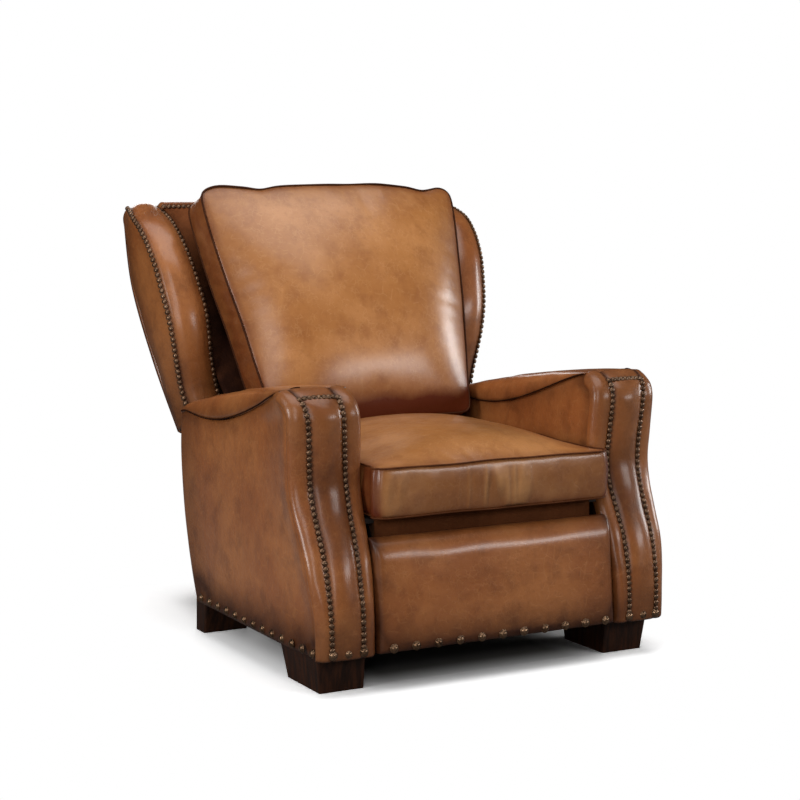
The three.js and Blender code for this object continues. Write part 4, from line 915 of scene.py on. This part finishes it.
piece = shaped("footrest_leather", footrestPanel())
place(piece, "footrest", armLeather, "footrest_pad", slot="tan_leather", fill=.8)
heads = spots(np.arange(-5, 6) * panel["pitch"], -.6, panel["nailHeight"])
nails("footrest_nails", "footrest", "large", heads, [0, -1., 0], 61)

# padded lip in front of the seat box and its deck
lip = dict(half=259, front=73.6, rear=77.2, top=339.4, foot=270)
section = [(lip["rear"], lip["foot"]), (75.4, lip["foot"]), (73.9, 276), (lip["front"], 290), (lip["front"], 312),
           (74.2, 326), (75.6, 335), (76.6, lip["top"]), (lip["rear"], lip["top"])]
y, z = splineAt(section, np.linspace(0, 1, 44)).T
rings = spots(np.linspace(-lip["half"], lip["half"], 60)[:, None], y, z)
# the lip is in the darker shaded leather with a burnish mark: painted shade under the cushion
place(loft("seat_front_lip", rings, .35), "seat", shadeLeather, slot="dark_leather", fill=.8)
print("footrest made")


wing = dict(foot=115, top=648, band=84, thick=26, crown=12, bulge=10, spread=449, waist=375, rear=178,
            post=268.2, groove=5.5, nailPitch=12.4, capHeight=16, capInset=15)
wingFrontShares = [(0, .5), (.13, .4), (.225, .25), (.315, .1), (.418, -.01), (.53, -.055), (.644, -.07),
                   (.727, -.03), (.792, .03), (.869, .15), (.949, .35), (1, .53)]
shellHalfShares = [(0, .818), (.33, .889), (.685, .936), (1, .918)]
wingRise = wing["top"] - wing["foot"]


def wingCurve(table, size, count):
    # a value up the wing from shares of its rise and of the size
    line = splineAt([(wing["foot"] + wingRise * a, size * b) for a, b in table], np.linspace(0, 1, count))
    return lambda h: np.interp(h, line[:, 0], line[:, 1])


wingFrontAt = wingCurve(wingFrontShares, wing["rear"], 700)
shellHalfAt = wingCurve(shellHalfShares, wing["spread"], 200)


def wingFlareAt(h):
    share = np.clip((wing["top"] - h) / wingRise, 0, None)
    return wing["spread"] - (wing["spread"] - wing["waist"]) * 1.2 * share ** 1.6


def wingInnerAt(h):
    # the inner edge lies one band inside the flare, and the band is widest above the middle
    return wingFlareAt(h) - (wing["band"] + 13 * smooth(h, 240, 380) * (1 - .4 * smooth(h, 600, 648)))


def wingOuterAt(h):
    return wingFlareAt(h) - 12 * smooth(h, wing["top"] - 60, wing["top"]) + 11 * (1 - smooth(h, 200, 590))


def wingPiece():
    # Section at each height: inner face, nail groove, crowned band, nail groove, bulging outer skin and
    # the rear; the last stations draw in to round the top.
    low = np.linspace(wing["foot"], wing["top"] - wing["capHeight"], 110)
    turn = np.linspace(0, np.pi / 2, 11)[1:]
    h = np.concatenate([low, wing["top"] - wing["capHeight"] + wing["capHeight"] * np.sin(turn)])
    inset = np.concatenate([0 * low, wing["capInset"] * (1 - np.cos(turn))])[:, None]
    f, inner, outer, corner = wingFrontAt(h), wingInnerAt(h), wingOuterAt(h), shellHalfAt(h)
    rear, c, width = wing["rear"], wing["crown"], outer - inner
    bulge = wing["bulge"] * (1 - .6 * smooth(h, wing["top"] - 120, wing["top"]))
    tuck = np.minimum(np.maximum(66.3, f + wing["thick"] + .6), rear - 12)
    knots = [(inner, tuck), (inner, f + 20), (inner, f + 11), (inner + 1.5, f + 5),
             (inner + wing["groove"], f + 3.2), (inner + 10, f + .5), (inner + 16, f - 3.5),
             (inner + .3 * width, f - .8 * c), (inner + .5 * width, f - c), (inner + .7 * width, f - .8 * c),
             (outer - 16, f - 3.5), (outer - 10, f + .5), (outer - wing["groove"], f + 3.2),
             (outer - 1.5, f + 5), (outer, f + 11), (outer + .4, f + 22)]
    knots += [(mix(outer, corner, t) + bulge * math.sin(math.pi * t), f + 22 + (rear - f - 22) * t)
              for t in (.25, .5, .75)]
    knots += [(corner + 1, rear - 9), (corner - 2, rear - 2.5), (corner - 9, rear)]
    knots = np.stack([np.stack(np.broadcast_arrays(a, b), -1) for a, b in knots])
    line = splineAt(knots, np.linspace(0, 1, 120)).transpose(1, 0, 2)
    # the closing side runs inside the back
    post = np.full_like(h, wing["post"])
    closing = np.stack([np.stack([post, rear + 0 * h], -1), np.stack([post, tuck], -1)], 1)
    x, r = np.moveaxis(np.concatenate([line, closing], 1), -1, 0)
    f, inner, outer, h = f[:, None], inner[:, None], outer[:, None], h[:, None]
    midX, midR = (inner + outer) / 2, (np.minimum(f + 10, 120) + rear) / 2
    x = x - inset * np.clip((x - midX) / 42, -1, 1)
    r = r - inset * np.clip((r - midR) / 42, -1, 1)
    over = 10 * smooth(h, wing["top"] - 40, wing["top"]) * np.clip(1 - np.abs((x - midX + 5) / 46) ** 3.5, -.8, 1)
    points = leaning(x, r, h + over * (1 - smooth(r, 60, 110)))
    points[..., 0] += ripple(points, 90, 71) * .9 * smooth(r, 0, 60) * (x > midX)
    grooves = inner + wing["groove"], outer - wing["groove"]
    near = np.minimum(*(np.hypot(x - groove, r - (f + 3)) for groove in grooves))
    # darker in both nail grooves, towards the rear, over the inner face and towards the foot: partly burnish,
    # partly painted shade
    burnishAndShade = (.16 + .5 * np.exp(-(near / 8) ** 2) + .35 * smooth(r, 90, 178) + .8 * (r > f + 14) * (x < midX)
               + .4 * (1 - smooth(h, 130, 330)))
    return points, np.clip(burnishAndShade, 0, .9)


def wingNailPlaces():
    # one row in each groove; heads face square to their row and tilt to the side
    h = np.linspace(wing["foot"] + 4, wing["top"] - 6, 900)
    rows, ways = [], []
    for x, out, tilt in ((wingInnerAt(h) + wing["groove"], 2.4, -.25), (wingOuterAt(h) - 2.6, 4, 1.1)):
        path = leaning(x, wingFrontAt(h) + out, h)
        rows.append(evenAlong(path, int(round(reachOf(path)[-1] / wing["nailPitch"]))))
        flat = unit(np.cross(np.gradient(rows[-1], axis=0), [1., 0, 0]))
        ways.append(flat * np.sign(flat @ [0, -1., .6])[:, None] + [tilt, 0, 0])
    return np.concatenate(rows), np.concatenate(ways)


wingParts, (heads, ways) = wingPiece(), wingNailPlaces()
for side, sign in hands:
    piece = shaped(f"wing_leather_{side}", wingParts, sign)
    place(piece, "back", armLeather, f"wing_body_{side}", f"wing_front_pad_{side}", slot="tan_leather", fill=.8)
    nails(f"wing_nails_{side}", "back", "small", mirrored(heads, sign), mirrored(ways, sign), 81 + sign)
print("wings made")

# padded panel between the wings, crowned to the front
inside = dict(foot=32, top=639.7, edge=60, peak=53.7, rear=65.9, footHalf=263.6)
u, v = shares(60, 60, -1)
h = mix(inside["foot"], inside["top"], v)
wide = wingInnerAt(np.maximum(h, wing["foot"])) - .4
half = mix(inside["footHalf"], wide, smooth(h, 115, 139))
crown = (1 - np.abs(u) ** 2.5) * (1 - np.abs(2 * v - 1) ** 2.5)
# darker at the sides and strongly over the lower half, in the shaded leather: painted shade behind the cushion and
# between the wings, with some burnish at the sides
burnishAndShade = np.clip(.3 * smooth(np.abs(u), .9, 1) + .95 * (1 - smooth(v, .55, .95)), 0, .95)
piece = slab("back_inside_leather", leaning(half * u, inside["edge"] - inside["peak"] * crown, h),
             leaning(half * u, inside["rear"], h), burnishAndShade)
place(piece, "back", shadeLeather, "back_inside_panel", slot="dark_leather", fill=.6)

# roll along the top of the back, between the wings
roll = [(66.5, 629), (61, 631), (60, 637), (63, 643.5), (70, 648), (84, 650), (110, 650.5), (145, 650),
        (166, 648.5), (175, 645), (178, 638), (178, 629)]
r, h = splineAt(roll, np.linspace(0, 1, 50)).T
piece = loft("back_top_roll", leaning((wingInnerAt(h) - .4) * np.linspace(-1, 1, 80)[:, None], r, h), .35)
place(piece, "back", armLeather, "back_top_rail", slot="tan_leather", fill=.8)
heads = leaning(np.arange(-356, 357, wing["nailPitch"]), 59.5, 632)
nails("back_top_nails", "back", "small", heads, upward * .3 - square, 91)

# crowned panel behind the back, with a welt round it
shell = dict(foot=-100, top=648, footHalf=278.7, footRear=107, rear=178, thick=10, crown=12, weltRadius=2.4)
u, v = shares(60, 70, -1)
h = mix(shell["foot"], shell["top"], v)
half = mix(shell["footHalf"], shellHalfAt(h), smooth(h, 91, 115))
depth = mix(shell["footRear"], shell["rear"], smooth(h, -50, 115) ** .8) + .3
crown = shell["thick"] + shell["crown"] * (1 - np.abs(u) ** 3) * hump(v, .6) - 5 * np.abs(u) ** 30
over = leaning(half * u * .996, depth + crown, h)
# darker at the sides and along the foot: partly burnish, partly painted shade
burnishAndShade = np.clip(.15 + .4 * smooth(np.abs(u), .93, 1) + .4 * (1 - smooth(v, 0, .08)), 0, .9)
piece = slab("back_outside_leather", over, leaning(half * u, depth, h), burnishAndShade)
place(piece, "back", armLeather, "back_outside_panel", slot="tan_leather", fill=.8)
line = evenAlong(np.concatenate([over[:, 0], over[-1, 1:-1], over[::-1, -1]]), 400)
piece = cord("back_outside_welt", line, shell["weltRadius"], square, burnishAndShade=.6)
place(piece, "back", weltLeather, slot="tan_leather", fill=1)
print("back made")


# finishes of the solids kept from the frame, without their sides; the others are black steel
frameWoods = ("arm_front_post", "arm_bottom_rail", "front_cross_rail", "rear_cross_rail", "seat_side_rail",
              "seat_rear_rail", "footrest_board", "back_post", "back_lower_rail")
# the seat's front rail takes the shaded leather: painted shade where it shows beside the ends of the lip
finishes = dict(foot_front=espressoWood, foot_rear=espressoWood, seat_springs=springSteel, seat_deck=deckCloth,
                seat_front_rail=shadeLeather, **{name: darkFrameWood for name in frameWoods})
for name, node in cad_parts.items():
    if not node.hide_render:
        plain = name.removesuffix("_left").removesuffix("_right")
        node.data.materials.clear()
        node.data.materials.append(finishes.get(plain, blackSteel))


# The floor is white in the camera's eye beyond the chair, and a soft ground near it that takes the chair's
# shadow, with a painted shadow darkest under the seat. Other rays meet a dim ground.
floorMesh = bpy.data.meshes.new("floor")
floorMesh.from_pydata([(x, y, -.0005) for x, y in ((-30, -30), (30, -30), (30, 30), (-30, 30))], [], [(0, 1, 2, 3)])
floor = bpy.data.objects.new("floor", floorMesh)
bpy.context.scene.collection.objects.link(floor)
make = Finish("studio_floor")
parts = (make.out("ShaderNodeSeparateXYZ", {}, dict(Vector=make.places), axis) for axis in "XY")
fromX, fromY = (part.math("ABSOLUTE") for part in parts)
pastX, pastY = (fromX - .42).math("MAXIMUM") * 2.2, (fromY - .5).math("MAXIMUM")
far = (pastX * pastX + pastY * pastY).math("SQRT").between(.0, .15)
seen = make.out("ShaderNodeLightPath", {}, {}, "Is Camera Ray")
# painted shadow: a dark patch under the seat, fading out across these bounds
under = (1 - fromX.between(.2, .38)) * (1 - fromY.between(.38, .54))
floorPaintedShadow = make.blend(under, (1.6, 1.6, 1.6, 1), (.16, .15, .14, 1))
paint = make.out("ShaderNodeBsdfDiffuse", {}, dict(Color=make.blend(seen, (.2, .2, .2, 1), floorPaintedShadow)))
white = make.out("ShaderNodeEmission", {}, dict(Color=(1, 1, 1, 1), Strength=1.0))
mixed = make.out("ShaderNodeMixShader", {}, {0: far * seen, 1: paint, 2: white})
make.node("ShaderNodeOutputMaterial", {}, dict(Surface=mixed))
floorMesh.materials.append(make.material)

# white to the camera, dim to every other ray
world = bpy.data.worlds.new("studio")
bpy.context.scene.world = world
world.use_nodes = True
tree = world.node_tree
tree.nodes.clear()
path, choose, result = (tree.nodes.new(kind) for kind in (
    "ShaderNodeLightPath", "ShaderNodeMixShader", "ShaderNodeOutputWorld"))
tree.links.new(path.outputs["Is Camera Ray"], choose.inputs[0])
for socket, strength in ((1, .02), (2, 1.0)):
    glow = tree.nodes.new("ShaderNodeBackground")
    glow.inputs["Color"].default_value = (1, 1, 1, 1)
    glow.inputs["Strength"].default_value = strength
    tree.links.new(glow.outputs[0], choose.inputs[socket])
tree.links.new(choose.outputs[0], result.inputs["Surface"])

lamps = [
    # name, place, aim, width, height, power
    ("overhead", (-.1, -.5, 3.45), (0, 0, .5), 3.0, 2.8, 65),
    ("left_front", (-1.8, -2.7, 1.1), (0, 0, .6), .7, 1.2, 11),
    ("left_high", (-1.35, -2.3, 2.15), (0, 0, .7), .8, .9, 9),
    ("left_box", (-3.15, -1.0, 1.3), (0, 0, .6), .9, 1.2, 43),
    ("left_upper", (-2.6, .2, 2.6), (0, 0, .6), 1.2, 1.2, 12),
    ("right_box", (3.25, -.6, 1.25), (0, 0, .6), .7, 1.2, 36),
    ("front_strip", (1.8, -2.95, 1.35), (0, 0, .6), 1.6, .6, 25),
    ("rear_box", (.6, 3.2, 2.0), (0, 0, .6), 2.0, 1.2, 24),
]
for name, spot, aim, wide, tall, power in lamps:
    lamp = bpy.data.lights.new(name, "AREA")
    lamp.shape, lamp.size, lamp.size_y, lamp.energy = "RECTANGLE", wide, tall, power
    holder = bpy.data.objects.new(name, lamp)
    holder.location = spot
    holder.rotation_euler = (Vector(aim) - Vector(spot)).to_track_quat("-Z", "Y").to_euler()
    bpy.context.scene.collection.objects.link(holder)

view = dict(place=(-1.970, -3.204 + chair["rowShift"] / 1000, 1.012), pitch=7.39, yaw=28.7, lens=84.2,
            sensor=36, shift=(-.01375, .03))
lens = bpy.data.cameras.new("camera")
lens.lens, lens.sensor_width = view["lens"], view["sensor"]
lens.shift_x, lens.shift_y = view["shift"]
camera = bpy.data.objects.new("camera", lens)
camera.location = view["place"]
camera.rotation_euler = (math.radians(90 - view["pitch"]), 0, math.radians(-view["yaw"]))
bpy.context.scene.collection.objects.link(camera)
bpy.context.scene.camera = camera
bpy.context.scene.view_settings.view_transform = "Standard"

bpy.context.view_layer.update()
print("scene made")
